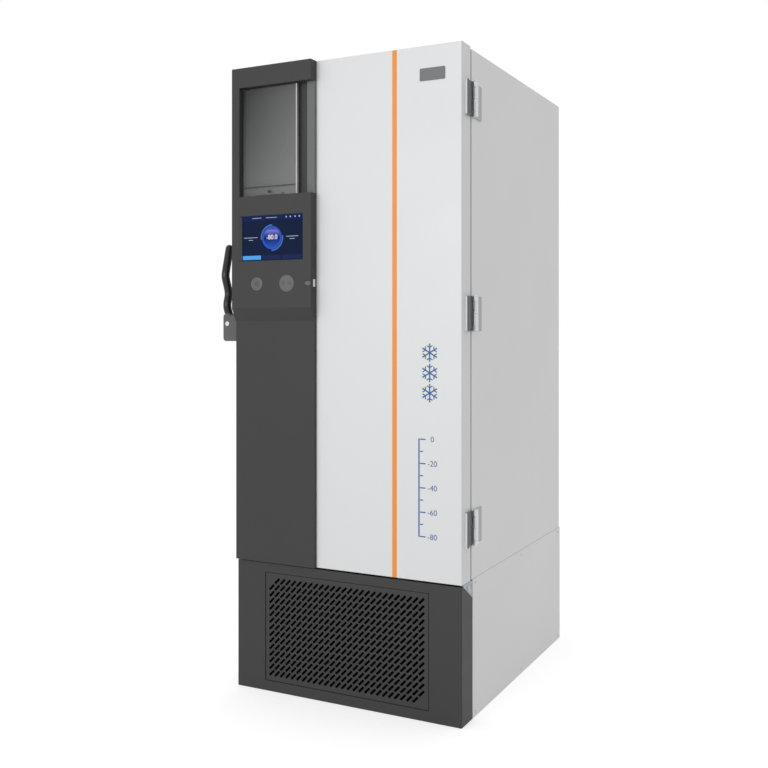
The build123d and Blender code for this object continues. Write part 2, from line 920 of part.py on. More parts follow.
def cabinet_leaf(level):
    """Thin plate on the cabinet's side with the other two knuckles."""
    z0 = level - hinge_height / 2
    z1 = level + hinge_height / 2
    face = half_width + cabinet_leaf_thickness
    y0 = axis_y + leaf_gap
    leaf = block(half_width, face, y0, cabinet_front + cabinet_leaf_length, z0, z1)
    for z_low, z_high in knuckle_spans(level)[1::2]:
        low = z_low + knuckle_gap / 2
        high = z_high - knuckle_gap / 2
        leaf += rod((axis_x, axis_y, low), (axis_x, axis_y, high), barrel_radius)
        leaf += plan_profile(
            [
                (axis_x - barrel_radius, axis_y),
                (axis_x, axis_y),
                (axis_x + barrel_radius * strap_out, axis_y + barrel_radius * strap_along),
                (face, y0 + leaf_gap),
                (half_width + leaf_clearance / 2, y0 + leaf_gap),
                (half_width + leaf_clearance / 2, y0),
            ],
            low,
            high,
        )
    return leaf


def hinge_set(make_leaf):
    """The same leaf at the three hinge levels, bored for the pin."""
    leaves = []
    bore = hinge_pin_radius + running_clearance
    for level in hinge_levels:
        span = hinge_height / 2 + bore_spare
        hole = rod((axis_x, axis_y, level - span), (axis_x, axis_y, level + span), bore)
        leaves.append((make_leaf(level) - hole).solid())
    return Compound(leaves)


def hinge_pins():
    """Three steel pins with domed heads."""
    pins = []
    for level in hinge_levels:
        low = (axis_x, axis_y, level - hinge_height / 2)
        top = level + hinge_height / 2 + body_clearance
        pin = rod(low, (axis_x, axis_y, top), hinge_pin_radius)
        head = rod((axis_x, axis_y, top), (axis_x, axis_y, top + pin_head), barrel_radius)
        head = fillet(head.edges().group_by(Axis.Z)[-1], pin_head_radius)
        pins.append((pin + head).solid())
    return Compound(pins)


save("hinge_door_leaves", hinge_set(door_leaf))
save("hinge_cabinet_leaves", hinge_set(cabinet_leaf))
save("hinge_pins", hinge_pins())


# Base frame, pan and covers
panel_inner = half_width - sheet
post_z1 = cabinet_bottom - floor_plate


def base_pan():
    """Folded tray that carries the machinery and stands on the floor."""
    x = panel_inner - post_sheet
    y0 = panel_y + post_sheet
    y1 = rear - sheet - post_sheet
    outer = block(-x, x, y0, y1, 0, pan_wall)
    inner = block(-x + pan_thickness, x - pan_thickness, y0 + pan_thickness, y1 - pan_thickness,
                  pan_thickness, pan_wall)
    return outer - inner


def gusset(side):
    """Plate that fills the corner between the fascia's slope and the door."""
    top = base_height - fascia_drop / 2
    slope_y = door_front + fascia_flat
    slope = (base_height - fascia_drop - fascia_slope_end) / (fascia_depth - fascia_flat)
    y0 = slope_y + fascia_wall
    start = base_height - fascia_drop - slope * (y0 - slope_y) + gusset_lift
    end = base_height - fascia_drop - slope * (panel_y - slope_y) + gusset_lift
    xs = sorted((side * panel_inner, side * (panel_inner - post_sheet)))
    return side_profile([(y0, start), (panel_y, end), (panel_y, top), (y0, top)], *xs)


def base_frame():
    """Four corner angles that carry the cabinet, the front ones with gussets above the fascia's slope."""
    posts = []
    y_ends = ((panel_y, 1), (rear - sheet, -1))
    for side in (-1, 1):
        x = side * panel_inner
        for y, inward in y_ends:
            xs = sorted((x, x - side * post_size))
            ys = sorted((y, y + inward * post_size))
            web_x = sorted((x, x - side * post_sheet))
            web_y = sorted((y, y + inward * post_sheet))
            post = block(*web_x, *ys, floor_gap, post_z1)
            post += block(*xs, *web_y, floor_gap, post_z1)
            if inward > 0:
                post += gusset(side)
            posts.append(post.solid())
    return Compound(posts)


def cabinet_floor():
    """Plate between the base and the insulated cabinet."""
    x = panel_inner - body_clearance
    return block(-x, x, panel_y, rear - sheet, post_z1, cabinet_bottom)


def fascia_profile(inset):
    """Side outline of the fascia, whose top falls away to the rear."""
    y0 = door_front + inset
    y1 = door_front + fascia_depth
    top = base_height - fascia_drop - inset
    slope_y = door_front + fascia_flat
    end = fascia_slope_end - inset
    low = floor_gap
    return [(y0, low), (y1, low), (y1, end), (slope_y, top), (y0, top)]


grille_x0 = grille_offset - grille_width / 2
grille_x1 = grille_offset + grille_width / 2
grille_z1 = grille_bottom + grille_height
grille_front = door_front + grille_recess
grille_back = grille_front + grille_thickness


def base_fascia():
    """Dark moulding across the front, with a rebated window for the grille."""
    body = side_profile(fascia_profile(0), -half_width, half_width)
    body = fillet(body.edges().group_by(Axis.Y)[0].filter_by(Axis.Z), fascia_radius)
    inner = side_profile(fascia_profile(fascia_wall), -half_width + fascia_wall, half_width - fascia_wall)
    body -= inner
    groove = grille_groove
    seat = grille_back + body_clearance
    border = grille_frame
    body += block(grille_x0 - border, grille_x1 + border, door_front + fascia_wall, seat + frame_lap,
                  grille_bottom - border, grille_z1 + border)
    tab_x = half_width - fascia_wall
    tab_y = door_front + fascia_depth - 2 * fascia_wall
    for side in (-1, 1):
        xs = sorted((side * tab_x, side * (tab_x - fascia_tab)))
        for tab_z in (grille_bottom, fascia_slope_end - 2 * fascia_tab):
            body += block(*xs, tab_y, panel_y, tab_z, tab_z + fascia_tab)
    body -= block(grille_x0 - groove, grille_x1 + groove, door_front, seat,
                  grille_bottom - groove, grille_z1 + groove)
    ledge = grille_ledge
    body -= block(grille_x0 + ledge, grille_x1 - ledge, door_front, seat + frame_lap,
                  grille_bottom + ledge, grille_z1 - ledge)
    return body


def front_grille():
    """Slotted insert: slanted slots in rows and columns, two corners left closed."""
    centre_z = grille_bottom + grille_height / 2
    plate = Plane.XZ * Rectangle(grille_width, grille_height)
    lean = degrees(atan2(slot_pitch_z, slot_pitch_x))
    slot = Plane.XZ * Rot(0, 0, lean) * Rectangle(slot_length, slot_width)
    holes = []
    for column in range(slot_columns):
        for row in range(slot_rows):
            top_left = column == 0 and row == slot_rows - 1
            bottom_right = column == slot_columns - 1 and row == 0
            if top_left or bottom_right:
                continue
            x = (column - (slot_columns - 1) / 2) * slot_pitch_x
            z = (row - (slot_rows - 1) / 2) * slot_pitch_z
            holes.append(Pos(x, 0, z) * slot)
    plate -= holes
    solid = extrude(plate, grille_thickness, dir=(0, 1, 0))
    return Pos(grille_offset, grille_front, centre_z) * solid


def air_filter():
    """Washable filter pad clipped to the back of the grille."""
    edge = grille_ledge + filter_margin
    return block(grille_x0 + edge, grille_x1 - edge, grille_back, grille_back + filter_thickness,
                 grille_bottom + edge, grille_z1 - edge)


def side_panel(side):
    """Flat cover of the base, one on each side."""
    xs = sorted((side * half_width, side * panel_inner))
    return block(*xs, panel_y, rear, floor_gap, base_height)


def screw_points():
    """Places of the six screws on a side panel."""
    y0 = panel_y + screw_inset
    y1 = rear - screw_inset
    return [(y, z) for y in (y0, (y0 + y1) / 2, y1) for z in (screw_edge, base_height - screw_edge)]


def panel_screws():
    """Domed screw heads on both side panels."""
    heads = []
    for side in (-1, 1):
        for y, z in screw_points():
            x0 = side * half_width
            head = rod((x0, y, z), (x0 + side * screw_head, y, z), screw_radius)
            heads.append(head.solid())
    return Compound(heads)


def rear_louvre_panel():
    """Back cover of the base with two columns of air slots."""
    panel = block(-panel_inner, panel_inner, rear - sheet, rear, floor_gap, base_height)
    middle = base_height / 2
    for side in (-1, 1):
        for row in range(louvre_rows):
            z = middle + (row - (louvre_rows - 1) / 2) * louvre_pitch
            x = side * panel_inner / 2
            panel -= block(x - louvre_width / 2, x + louvre_width / 2, rear - sheet, rear,
                           z - louvre_slot / 2, z + louvre_slot / 2)
    return panel


def power_inlet():
    """Mains inlet on the back cover, between the louvres."""
    z = base_height / 4
    body = block(-inlet_width / 2, inlet_width / 2, rear, rear + inlet_proud, z, z + inlet_height)
    body = fillet(body.edges().filter_by(Axis.Y), inlet_radius)
    half = inlet_width / 2 - inlet_side_border
    return body - block(-half, half, rear + inlet_floor, rear + inlet_proud, z + inlet_end_border,
                        z + inlet_height - inlet_end_border)


save("base_pan", base_pan())
save("base_frame", base_frame())
save("cabinet_floor", cabinet_floor())
save("base_fascia", base_fascia())
save("front_grille", front_grille())
save("air_filter", air_filter())
save("side_panel_left", side_panel(-1))
save("side_panel_right", side_panel(1))
save("panel_screws", panel_screws())
save("rear_louvre_panel", rear_louvre_panel())
save("power_inlet", power_inlet())


# Refrigeration machinery in the base
condenser_y0 = door_front + condenser_front
condenser_y1 = condenser_y0 + condenser_depth
condenser_z0 = pan_thickness
condenser_z1 = condenser_z0 + condenser_rise + condenser_height
fan_z = condenser_z0 + condenser_rise + condenser_height / 2
shroud_y0 = condenser_y1
shroud_y1 = shroud_y0 + shroud_plate
fan_y0 = shroud_y1 + fan_set_back
fan_y1 = fan_y0 + fan_depth
motor_y0 = fan_y1 + motor_gap
motor_y1 = motor_y0 + motor_length


def condenser():
    """Finned block between two end plates that stand on the pan."""
    half = condenser_width / 2
    core = block(-half, half, condenser_y0 + core_inset, condenser_y1 - core_inset,
                 condenser_z0 + condenser_rise, condenser_z1)
    for side in (-1, 1):
        xs = sorted((side * half, side * (half + end_plate)))
        core += block(*xs, condenser_y0, condenser_y1, condenser_z0, condenser_z1)
    return core


def fan_shroud():
    """Plate behind the condenser with a ring round the fan."""
    half = condenser_width / 2 + end_plate
    opening = fan_radius + fan_tip_gap
    plate = block(-half, half, shroud_y0, shroud_y1, condenser_z0, condenser_z1)
    ring_end = shroud_y1 + shroud_ring_depth
    ring = rod((0, shroud_y1, fan_z), (0, ring_end, fan_z), opening + shroud_plate)
    plate += ring
    return plate - rod((0, shroud_y0, fan_z), (0, ring_end, fan_z), opening)


def fan_motor():
    """Motor on three arms that reach the shroud's ring."""
    motor = rod((0, motor_y0, fan_z), (0, motor_y1, fan_z), motor_radius)
    motor = fillet(motor.edges().group_by(Axis.Y)[-1], motor_edge)
    motor += rod((0, fan_y0 + fan_shaft_start, fan_z), (0, motor_y0, fan_z), motor_shaft_radius)
    reach = fan_radius + fan_tip_gap + shroud_plate
    for angle in (90, 210, 330):
        dx = cos(radians(angle))
        dz = sin(radians(angle))
        start = (dx * motor_radius * 0.8, motor_y0 + motor_arm, fan_z + dz * motor_radius * 0.8)
        corner = (dx * (reach + motor_arm), motor_y0 + motor_arm, fan_z + dz * (reach + motor_arm))
        seat = (corner[0], shroud_y1, corner[2])
        motor += rod(start, corner, motor_arm_radius) + rod(corner, seat, motor_arm_radius)
        motor += Pos(corner) * Sphere(motor_arm_radius)
    return motor


def condenser_fan():
    """Hub with pitched blades that turns on the motor's shaft."""
    hub = rod((0, fan_y0, fan_z), (0, fan_y1, fan_z), fan_hub_radius)
    hub = fillet(hub.edges().group_by(Axis.Y)[0], fan_edge)
    middle = (fan_y0 + fan_y1) / 2
    for number in range(fan_blades):
        root = fan_hub_radius * 0.7
        span = fan_radius - root
        tip = Pos(0, 0, root + span) * Rot(0, 0, fan_pitch * 0.7) * Rectangle(fan_chord, fan_blade_thickness)
        base = Pos(0, 0, root) * Rot(0, 0, fan_pitch) * Rectangle(fan_chord * 0.6, fan_blade_thickness)
        blade = loft([base.face(), tip.face()])
        hub += Pos(0, middle, fan_z) * Rot(0, 360 / fan_blades * number, 0) * blade
    bore = motor_shaft_radius + running_clearance
    return hub - rod((0, fan_y0 + fan_shaft_start - body_clearance, fan_z), (0, fan_y1, fan_z), bore)


def compressor(side):
    """Hermetic shell with domed ends, on a foot plate and four grommets."""
    x = side * compressor_spacing / 2
    y = door_front + compressor_set_back
    z = pan_thickness + grommet_height + foot_sheet
    r = compressor_radius
    side_high = z + compressor_dome / 2 + compressor_body
    shell = rod((0, 0, z), (0, 0, side_high + compressor_dome), r)
    shell = fillet(shell.edges().group_by(Axis.Z)[-1], compressor_dome)
    shell = fillet(shell.edges().group_by(Axis.Z)[0], compressor_dome / 2)
    half = compressor_foot / 2
    low = z - foot_sheet
    shell += block(-half, half, -half * 0.7, half * 0.7, low, z)
    terminal_y = r * 0.8
    shell += block(-terminal_width / 2, terminal_width / 2, terminal_y, terminal_y + terminal_depth,
                   z + terminal_rise, z + terminal_rise + terminal_height)
    boss_z = side_high - boss_length
    shell += rod((0, -r * 0.9, boss_z), (0, -r - boss_length, boss_z), pipe_radius + 2)
    for dx in (-0.82, 0.82):
        for dy in (-0.52, 0.52):
            shell += rod((dx * half, dy * half, pan_thickness), (dx * half, dy * half, low), grommet_radius)
    return Pos(x, y, 0) * shell


def discharge_pipes():
    """Hot gas pipes from each compressor's boss to the condenser's end plates."""
    pipes = []
    start_y = door_front + compressor_set_back - compressor_radius - boss_length
    z = pan_thickness + grommet_height + foot_sheet + compressor_dome / 2 + compressor_body - boss_length
    plate = condenser_width / 2 + end_plate
    end_y = (condenser_y0 + condenser_y1) / 2
    for side in (-1, 1):
        x = side * compressor_spacing / 2
        out = side * (plate + 2.5 * pipe_bend)
        points = [
            (x, start_y, z),
            (x, start_y - 4 * pipe_bend, z),
            (out, start_y - 4 * pipe_bend, z),
            (out, end_y, z),
            (side * plate, end_y, z),
        ]
        path = FilletPolyline(points, radius=pipe_bend)
        pipes.append(sweep(Plane(origin=path @ 0, z_dir=path % 0) * Circle(pipe_radius), path).solid())
    return Compound(pipes)


def interstage_exchanger():
    """Foam-wrapped heat exchanger between the two stages, on the pan."""
    x0 = -panel_inner + post_size + 2 * pan_thickness
    y1 = rear - sheet - post_size - 2 * pan_thickness
    body = block(x0, x0 + exchanger_width, y1 - exchanger_depth, y1, pan_thickness,
                 pan_thickness + exchanger_height)
    return fillet(body.edges().filter_by(Axis.Z), exchanger_width / 5)


def control_box():
    """Sheet box with the power board, on the pan at the back."""
    y1 = rear - sheet - post_sheet - pan_thickness - control_box_gap
    half = control_box_width / 2
    body = block(-half, half, y1 - control_box_depth, y1, pan_thickness, pan_thickness + control_box_height)
    return fillet(body.edges().filter_by(Axis.Z), control_box_radius)


save("condenser", condenser())
save("fan_shroud", fan_shroud())
save("fan_motor", fan_motor())
save("condenser_fan", condenser_fan())
save("compressor_high_stage", compressor(-1))
save("compressor_low_stage", compressor(1))
save("discharge_pipes", discharge_pipes())
save("interstage_exchanger", interstage_exchanger())
save("control_box", control_box())
save("evaporator_coil", evaporator_coil())
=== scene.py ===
import bmesh
import bpy
import math
from mathutils import Matrix, Vector


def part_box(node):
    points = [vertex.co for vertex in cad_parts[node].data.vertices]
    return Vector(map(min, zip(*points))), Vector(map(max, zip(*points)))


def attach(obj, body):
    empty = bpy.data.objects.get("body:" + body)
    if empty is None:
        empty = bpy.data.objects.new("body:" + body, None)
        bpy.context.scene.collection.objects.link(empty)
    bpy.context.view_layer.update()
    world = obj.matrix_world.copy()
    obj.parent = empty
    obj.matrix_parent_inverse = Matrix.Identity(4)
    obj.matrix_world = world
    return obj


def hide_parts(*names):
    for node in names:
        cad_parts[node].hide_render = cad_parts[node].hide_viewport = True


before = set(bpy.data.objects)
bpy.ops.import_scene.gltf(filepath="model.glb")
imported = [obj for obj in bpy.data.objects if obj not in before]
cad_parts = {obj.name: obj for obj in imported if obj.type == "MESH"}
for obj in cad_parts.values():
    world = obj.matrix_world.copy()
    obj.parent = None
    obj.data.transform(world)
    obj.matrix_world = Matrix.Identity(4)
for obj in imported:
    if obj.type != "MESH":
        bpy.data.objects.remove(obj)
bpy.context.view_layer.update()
print("frame loaded,", len(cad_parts), "nodes")


def screenColour(red, green, blue):
    # 0 to 255 as a picture shows it, turned into the linear values that a shader takes
    channels = [c / 255 for c in (red, green, blue)]
    return tuple(c / 12.92 if c < 0.04 else ((c + 0.055) / 1.055) ** 2.4 for c in channels) + (1.0,)


def darker(colour, share):
    return tuple(c * share for c in colour[:3]) + (1.0,)


# The room: camera, lamps and floor
studio = {
    "cameraPlace": (1.48748, -3.12326, 1.15689),
    "cameraTurn": 26.98,
    "lens": 46.6,
    "sensor": 36.0,
    "shift": -0.0745,
    "skyLight": 0.67,
    "keyPlace": (-1.6, -8.5, 2.4),
    "keyAim": (0.0, 0.0, 1.0),
    "keySize": 4.0,
    "keyWatts": 212.0,
    "floorSize": 80.0,
    "floorColour": 0.8,
    "floorLift": 0.5,
}


def placeCamera():
    lens = bpy.data.cameras.new("camera")
    lens.lens = studio["lens"]
    lens.sensor_width = studio["sensor"]
    lens.shift_y = studio["shift"]
    lens.clip_end = 200.0
    camera = bpy.data.objects.new("camera", lens)
    camera.location = studio["cameraPlace"]
    camera.rotation_euler = (math.radians(90), 0.0, math.radians(studio["cameraTurn"]))
    bpy.context.scene.collection.objects.link(camera)
    bpy.context.scene.camera = camera


def seenStraight(tree):
    # 1 for what the camera sees itself or through gloss and glass, 0 for soft light on the object
    path = tree.nodes.new("ShaderNodeLightPath")
    kinds = ["Is Camera Ray", "Is Glossy Ray", "Is Transmission Ray"]
    total = path.outputs[kinds[0]]
    for kind in kinds[1:]:
        largest = tree.nodes.new("ShaderNodeMath")
        largest.operation = "MAXIMUM"
        tree.links.new(total, largest.inputs[0])
        tree.links.new(path.outputs[kind], largest.inputs[1])
        total = largest.outputs[0]
    return total


def paintSky():
    world = bpy.data.worlds.new("sky")
    world.use_nodes = True
    bpy.context.scene.world = world
    tree = world.node_tree
    tree.nodes.clear()
    soft = tree.nodes.new("ShaderNodeBackground")
    soft.inputs["Color"].default_value = (1, 1, 1, 1)
    soft.inputs["Strength"].default_value = studio["skyLight"]
    white = tree.nodes.new("ShaderNodeBackground")
    white.inputs["Color"].default_value = (1, 1, 1, 1)
    white.inputs["Strength"].default_value = 1.0
    choice = tree.nodes.new("ShaderNodeMixShader")
    out = tree.nodes.new("ShaderNodeOutputWorld")
    tree.links.new(seenStraight(tree), choice.inputs[0])
    tree.links.new(soft.outputs[0], choice.inputs[1])
    tree.links.new(white.outputs[0], choice.inputs[2])
    tree.links.new(choice.outputs[0], out.inputs["Surface"])


def floorFinish():
    mat = bpy.data.materials.new("floor")
    mat.use_nodes = True
    tree = mat.node_tree
    tree.nodes.clear()
    matt = tree.nodes.new("ShaderNodeBsdfDiffuse")
    matt.inputs["Color"].default_value = (studio["floorColour"],) * 3 + (1,)
    glow = tree.nodes.new("ShaderNodeEmission")
    glow.inputs["Strength"].default_value = studio["floorLift"]
    lifted = tree.nodes.new("ShaderNodeAddShader")
    choice = tree.nodes.new("ShaderNodeMixShader")
    out = tree.nodes.new("ShaderNodeOutputMaterial")
    tree.links.new(matt.outputs[0], lifted.inputs[0])
    tree.links.new(glow.outputs[0], lifted.inputs[1])
    tree.links.new(seenStraight(tree), choice.inputs[0])
    tree.links.new(matt.outputs[0], choice.inputs[1])
    tree.links.new(lifted.outputs[0], choice.inputs[2])
    tree.links.new(choice.outputs[0], out.inputs["Surface"])
    return mat


def layFloor():
    bm = bmesh.new()
    bmesh.ops.create_grid(bm, x_segments=1, y_segments=1, size=studio["floorSize"] / 2)
    mesh = bpy.data.meshes.new("floor")
    bm.to_mesh(mesh)
    bm.free()
    mesh.materials.append(floorFinish())
    floor = bpy.data.objects.new("floor", mesh)
    bpy.context.scene.collection.objects.link(floor)


def hangLamp():
    lamp = bpy.data.lights.new("key", "AREA")
    lamp.shape = "DISK"
    lamp.size = studio["keySize"]
    lamp.energy = studio["keyWatts"]
    key = bpy.data.objects.new("key", lamp)
    key.location = studio["keyPlace"]
    aim = Vector(studio["keyAim"]) - Vector(studio["keyPlace"])
    key.rotation_euler = aim.to_track_quat("-Z", "Y").to_euler()
    bpy.context.scene.collection.objects.link(key)


bpy.context.scene.view_settings.view_transform = "Standard"
placeCamera()
paintSky()
layFloor()
hangLamp()
print("camera, lamps and floor in place")


# Finishes
def pattern(tree, coords, look):
    turn = tree.nodes.new("ShaderNodeMapping")
    turn.inputs["Scale"].default_value = look.get("stretch", (1, 1, 1))
    tree.links.new(coords.outputs["Object"], turn.inputs["Vector"])
    kind = look.get("kind", "noise")
    if kind == "cells":
        node = tree.nodes.new("ShaderNodeTexVoronoi")
        result = node.outputs["Distance"]
    elif kind == "bands":
        node = tree.nodes.new("ShaderNodeTexWave")
        node.bands_direction = look["along"]
        result = node.outputs["Fac"]
    else:
        node = tree.nodes.new("ShaderNodeTexNoise")
        node.inputs["Detail"].default_value = look.get("detail", 3.0)
        result = node.outputs["Fac"]
    node.inputs["Scale"].default_value = look["scale"]
    tree.links.new(turn.outputs["Vector"], node.inputs["Vector"])
    return result


def between(tree, source, low, high):
    ramp = tree.nodes.new("ShaderNodeMapRange")
    ramp.inputs["From Min"].default_value = 0.3
    ramp.inputs["From Max"].default_value = 0.7
    ramp.inputs["To Min"].default_value = low
    ramp.inputs["To Max"].default_value = high
    tree.links.new(source, ramp.inputs["Value"])
    return ramp.outputs["Result"]


def blendColours(tree, source, first, second):
    mix = tree.nodes.new("ShaderNodeMix")
    mix.data_type = "RGBA"
    mix.inputs[6].default_value = first
    mix.inputs[7].default_value = second
    tree.links.new(source, mix.inputs[0])
    return mix.outputs[2]


def steppedTone(tree, coords, tone, axis, steps):
    # another colour from each level on, for a piece whose regions differ; on the hinges these levels are
    # painted reflections and highlights
    parts = tree.nodes.new("ShaderNodeSeparateXYZ")
    tree.links.new(coords.outputs["Object"], parts.inputs["Vector"])
    for level, colour in steps:
        beyond = tree.nodes.new("ShaderNodeMath")
        beyond.operation = "GREATER_THAN"
        beyond.inputs[1].default_value = level
        tree.links.new(parts.outputs[axis], beyond.inputs[0])
        choice = tree.nodes.new("ShaderNodeMix")
        choice.data_type = "RGBA"
        choice.inputs[7].default_value = colour
        tree.links.new(tone, choice.inputs[6])
        tree.links.new(beyond.outputs[0], choice.inputs[0])
        tone = choice.outputs[2]
    return tone


def makeFinish(name, look):
    # broad pattern: patches of tone and gloss; fine pattern: the relief of the surface
    mat = bpy.data.materials.new(name)
    mat.use_nodes = True
    tree = mat.node_tree
    shader = tree.nodes["Principled BSDF"]
    for socket, value in look.get("fixed", {}).items():
        shader.inputs[socket].default_value = value
    coords = tree.nodes.new("ShaderNodeTexCoord")
    broad = pattern(tree, coords, look["broad"])
    fine = pattern(tree, coords, look["fine"])
    second = look.get("second", darker(look["colour"], look.get("shade", 0.95)))
    toned = fine if look.get("toneFrom") == "fine" else broad
    tone = blendColours(tree, toned, look["colour"], second)
    if "steps" in look:
        tone = steppedTone(tree, coords, tone, *look["steps"])
    tree.links.new(tone, shader.inputs["Base Color"])
    tree.links.new(between(tree, broad, *look["rough"]), shader.inputs["Roughness"])
    relief = tree.nodes.new("ShaderNodeBump")
    relief.inputs["Strength"].default_value = look["relief"]
    relief.inputs["Distance"].default_value = look["depth"]
    tree.links.new(fine, relief.inputs["Height"])
    tree.links.new(relief.outputs["Normal"], shader.inputs["Normal"])
    return mat


steelWhite = {
    "colour": screenColour(224, 225, 226),
    "shade": 0.985,
    "rough": (0.34, 0.42),
    "broad": {"scale": 3.0},
    "fine": {"scale": 420.0, "detail": 2.0},
    "relief": 0.12,
    "depth": 0.0002,
}
steelPale = {
    "colour": screenColour(232, 232, 232),
    "shade": 0.98,
    "rough": (0.42, 0.52),
    "broad": {"scale": 2.5},
    "fine": {"scale": 650.0, "detail": 4.0},
    "relief": 0.25,
    "depth": 0.0002,
}
columnPlastic = {
    "fixed": {"Specular IOR Level": 0.18},
    "colour": screenColour(65, 65, 66),
    "shade": 0.93,
    "rough": (0.42, 0.5),
    "broad": {"scale": 5.0},
    "fine": {"scale": 1400.0, "detail": 3.0},
    "relief": 0.3,
    "depth": 0.0001,
}
railPlastic = {
    "fixed": {"Specular IOR Level": 0.2},
    "colour": screenColour(112, 114, 113),
    "shade": 0.88,
    "rough": (0.3, 0.4),
    "broad": {"scale": 9.0},
    "fine": {"scale": 1200.0},
    "relief": 0.2,
    "depth": 0.0001,
}
controlPlastic = {
    "fixed": {"Specular IOR Level": 0.25},
    "colour": screenColour(106, 106, 106),
    "shade": 0.94,
    "rough": (0.32, 0.4),
    "broad": {"scale": 30.0},
    "fine": {"scale": 2200.0},
    "relief": 0.25,
    "depth": 0.0001,
}
leverPlastic = {
    "fixed": {"Specular IOR Level": 0.4},
    "steps": ("Z", ((1.2, screenColour(26, 26, 27)),)),
    "colour": screenColour(92, 92, 93),
    "shade": 0.9,
    "rough": (0.22, 0.32),
    "broad": {"scale": 12.0},
    "fine": {"scale": 900.0},
    "relief": 0.12,
    "depth": 0.0001,
}
palePlastic = {
    "colour": screenColour(226, 226, 224),
    "shade": 0.95,
    "rough": (0.25, 0.35),
    "broad": {"scale": 14.0},
    "fine": {"scale": 1500.0},
    "relief": 0.12,
    "depth": 0.0001,
}
whitePlastic = {
    "colour": screenColour(222, 224, 224),
    "shade": 0.96,
    "rough": (0.36, 0.48),
    "broad": {"scale": 4.0},
    "fine": {"scale": 800.0},
    "relief": 0.18,
    "depth": 0.0002,
}
blackPlastic = {
    "colour": screenColour(38, 38, 39),
    "shade": 0.85,
    "rough": (0.45, 0.6),
    "broad": {"scale": 18.0},
    "fine": {"scale": 1300.0},
    "relief": 0.3,
    "depth": 0.0002,
}
gasketRubber = {
    "colour": screenColour(120, 122, 124),
    "shade": 0.85,
    "rough": (0.6, 0.75),
    "broad": {"scale": 22.0},
    "fine": {"scale": 900.0},
    "relief": 0.3,
    "depth": 0.0002,
}
hingeChromePaintedReflections = {
    # the colour steps along Y are painted reflections: a painted highlight on the front bead, a dark painted
    # reflection on the door leaf, a bright knuckle and a mid-grey cabinet leaf behind
    "steps": ("Y", ((-0.4505, screenColour(96, 97, 98)), (-0.4055, screenColour(236, 236, 238)),
                    (-0.388, screenColour(168, 169, 170)))),
    "colour": screenColour(246, 246, 247),
    "shade": 0.9,
    "rough": (0.12, 0.24),
    "broad": {"scale": 40.0},
    "fine": {"scale": 300.0, "stretch": (6, 6, 1)},
    "relief": 0.08,
    "depth": 0.0002,
    "fixed": {"Metallic": 0.2, "Specular IOR Level": 0.3},
}
stainlessSheet = {
    "colour": screenColour(198, 199, 201),
    "shade": 0.9,
    "rough": (0.26, 0.4),
    "broad": {"scale": 60.0, "stretch": (0.05, 0.05, 3)},
    "fine": {"scale": 500.0, "stretch": (0.02, 0.02, 2)},
    "relief": 0.2,
    "depth": 0.0001,
    "fixed": {"Metallic": 1.0},
}
zincSteel = {
    "colour": screenColour(176, 180, 184),
    "second": screenColour(140, 143, 148),
    "rough": (0.35, 0.55),
    "broad": {"kind": "cells", "scale": 70.0},
    "fine": {"scale": 600.0},
    "relief": 0.15,
    "depth": 0.0002,
    "fixed": {"Metallic": 0.9},
}
finAluminium = {
    "colour": screenColour(190, 192, 194),
    # the dark second colour in the fin bands is painted shade in the gaps between the fins
    "second": screenColour(70, 72, 74),
    "toneFrom": "fine",
    "rough": (0.35, 0.5),
    "broad": {"scale": 30.0},
    "fine": {"kind": "bands", "along": "X", "scale": 75.0},
    "relief": 0.8,
    "depth": 0.001,
    "fixed": {"Metallic": 0.8},
}
blackEnamel = {
    "colour": screenColour(34, 34, 36),
    "shade": 0.7,
    "rough": (0.22, 0.36),
    "broad": {"scale": 15.0},
    "fine": {"scale": 260.0},
    "relief": 0.15,
    "depth": 0.0004,
}
copperTube = {
    "colour": screenColour(196, 124, 84),
    "second": screenColour(140, 82, 58),
    "rough": (0.25, 0.5),
    "broad": {"scale": 45.0},
    "fine": {"scale": 500.0},
    "relief": 0.15,
    "depth": 0.0002,
    "fixed": {"Metallic": 1.0},
}
filterPad = {
    "fixed": {"Specular IOR Level": 0.0},
    "colour": screenColour(12, 12, 12),
    "second": screenColour(4, 4, 4),
    "toneFrom": "fine",
    "rough": (0.85, 0.95),
    "broad": {"scale": 30.0},
    "fine": {"kind": "cells", "scale": 420.0},
    "relief": 0.9,
    "depth": 0.001,
}
insulationFoam = {
    "colour": screenColour(226, 214, 172),
    "second": screenColour(196, 180, 132),
    "toneFrom": "fine",
    "rough": (0.8, 0.95),
    "broad": {"scale": 12.0},
    "fine": {"kind": "cells", "scale": 380.0},
    "relief": 0.7,
    "depth": 0.001,
}
screenGlass = {
    "colour": screenColour(6, 9, 16),
    "shade": 0.8,
    "rough": (0.06, 0.1),
    "broad": {"scale": 25.0},
    "fine": {"scale": 60.0},
    "relief": 0.02,
    "depth": 0.0001,
    "fixed": {
        "Emission Color": screenColour(15, 28, 58),
        "Emission Strength": 1.0,
        "Specular IOR Level": 0.06,
    },
}
stripeOrange = {
    "fixed": {"Specular IOR Level": 0.3},
    "colour": screenColour(240, 150, 66),
    "shade": 0.97,
    "rough": (0.3, 0.4),
    "broad": {"scale": 6.0},
    "fine": {"scale": 700.0},
    "relief": 0.12,
    "depth": 0.0001,
}
printBlue = {
    "colour": screenColour(0, 82, 150),
    "shade": 0.94,
    "rough": (0.32, 0.42),
    "broad": {"scale": 20.0},
    "fine": {"scale": 900.0},
    "relief": 0.12,
    "depth": 0.0001,
}
badgeMetal = {
    "colour": screenColour(126, 127, 128),
    "shade": 0.86,
    "rough": (0.28, 0.42),
    "broad": {"scale": 90.0, "stretch": (0.1, 1, 3)},
    "fine": {"scale": 900.0, "stretch": (0.05, 1, 3)},
    "relief": 0.25,
    "depth": 0.0001,
    "fixed": {"Specular IOR Level": 0.15},
}
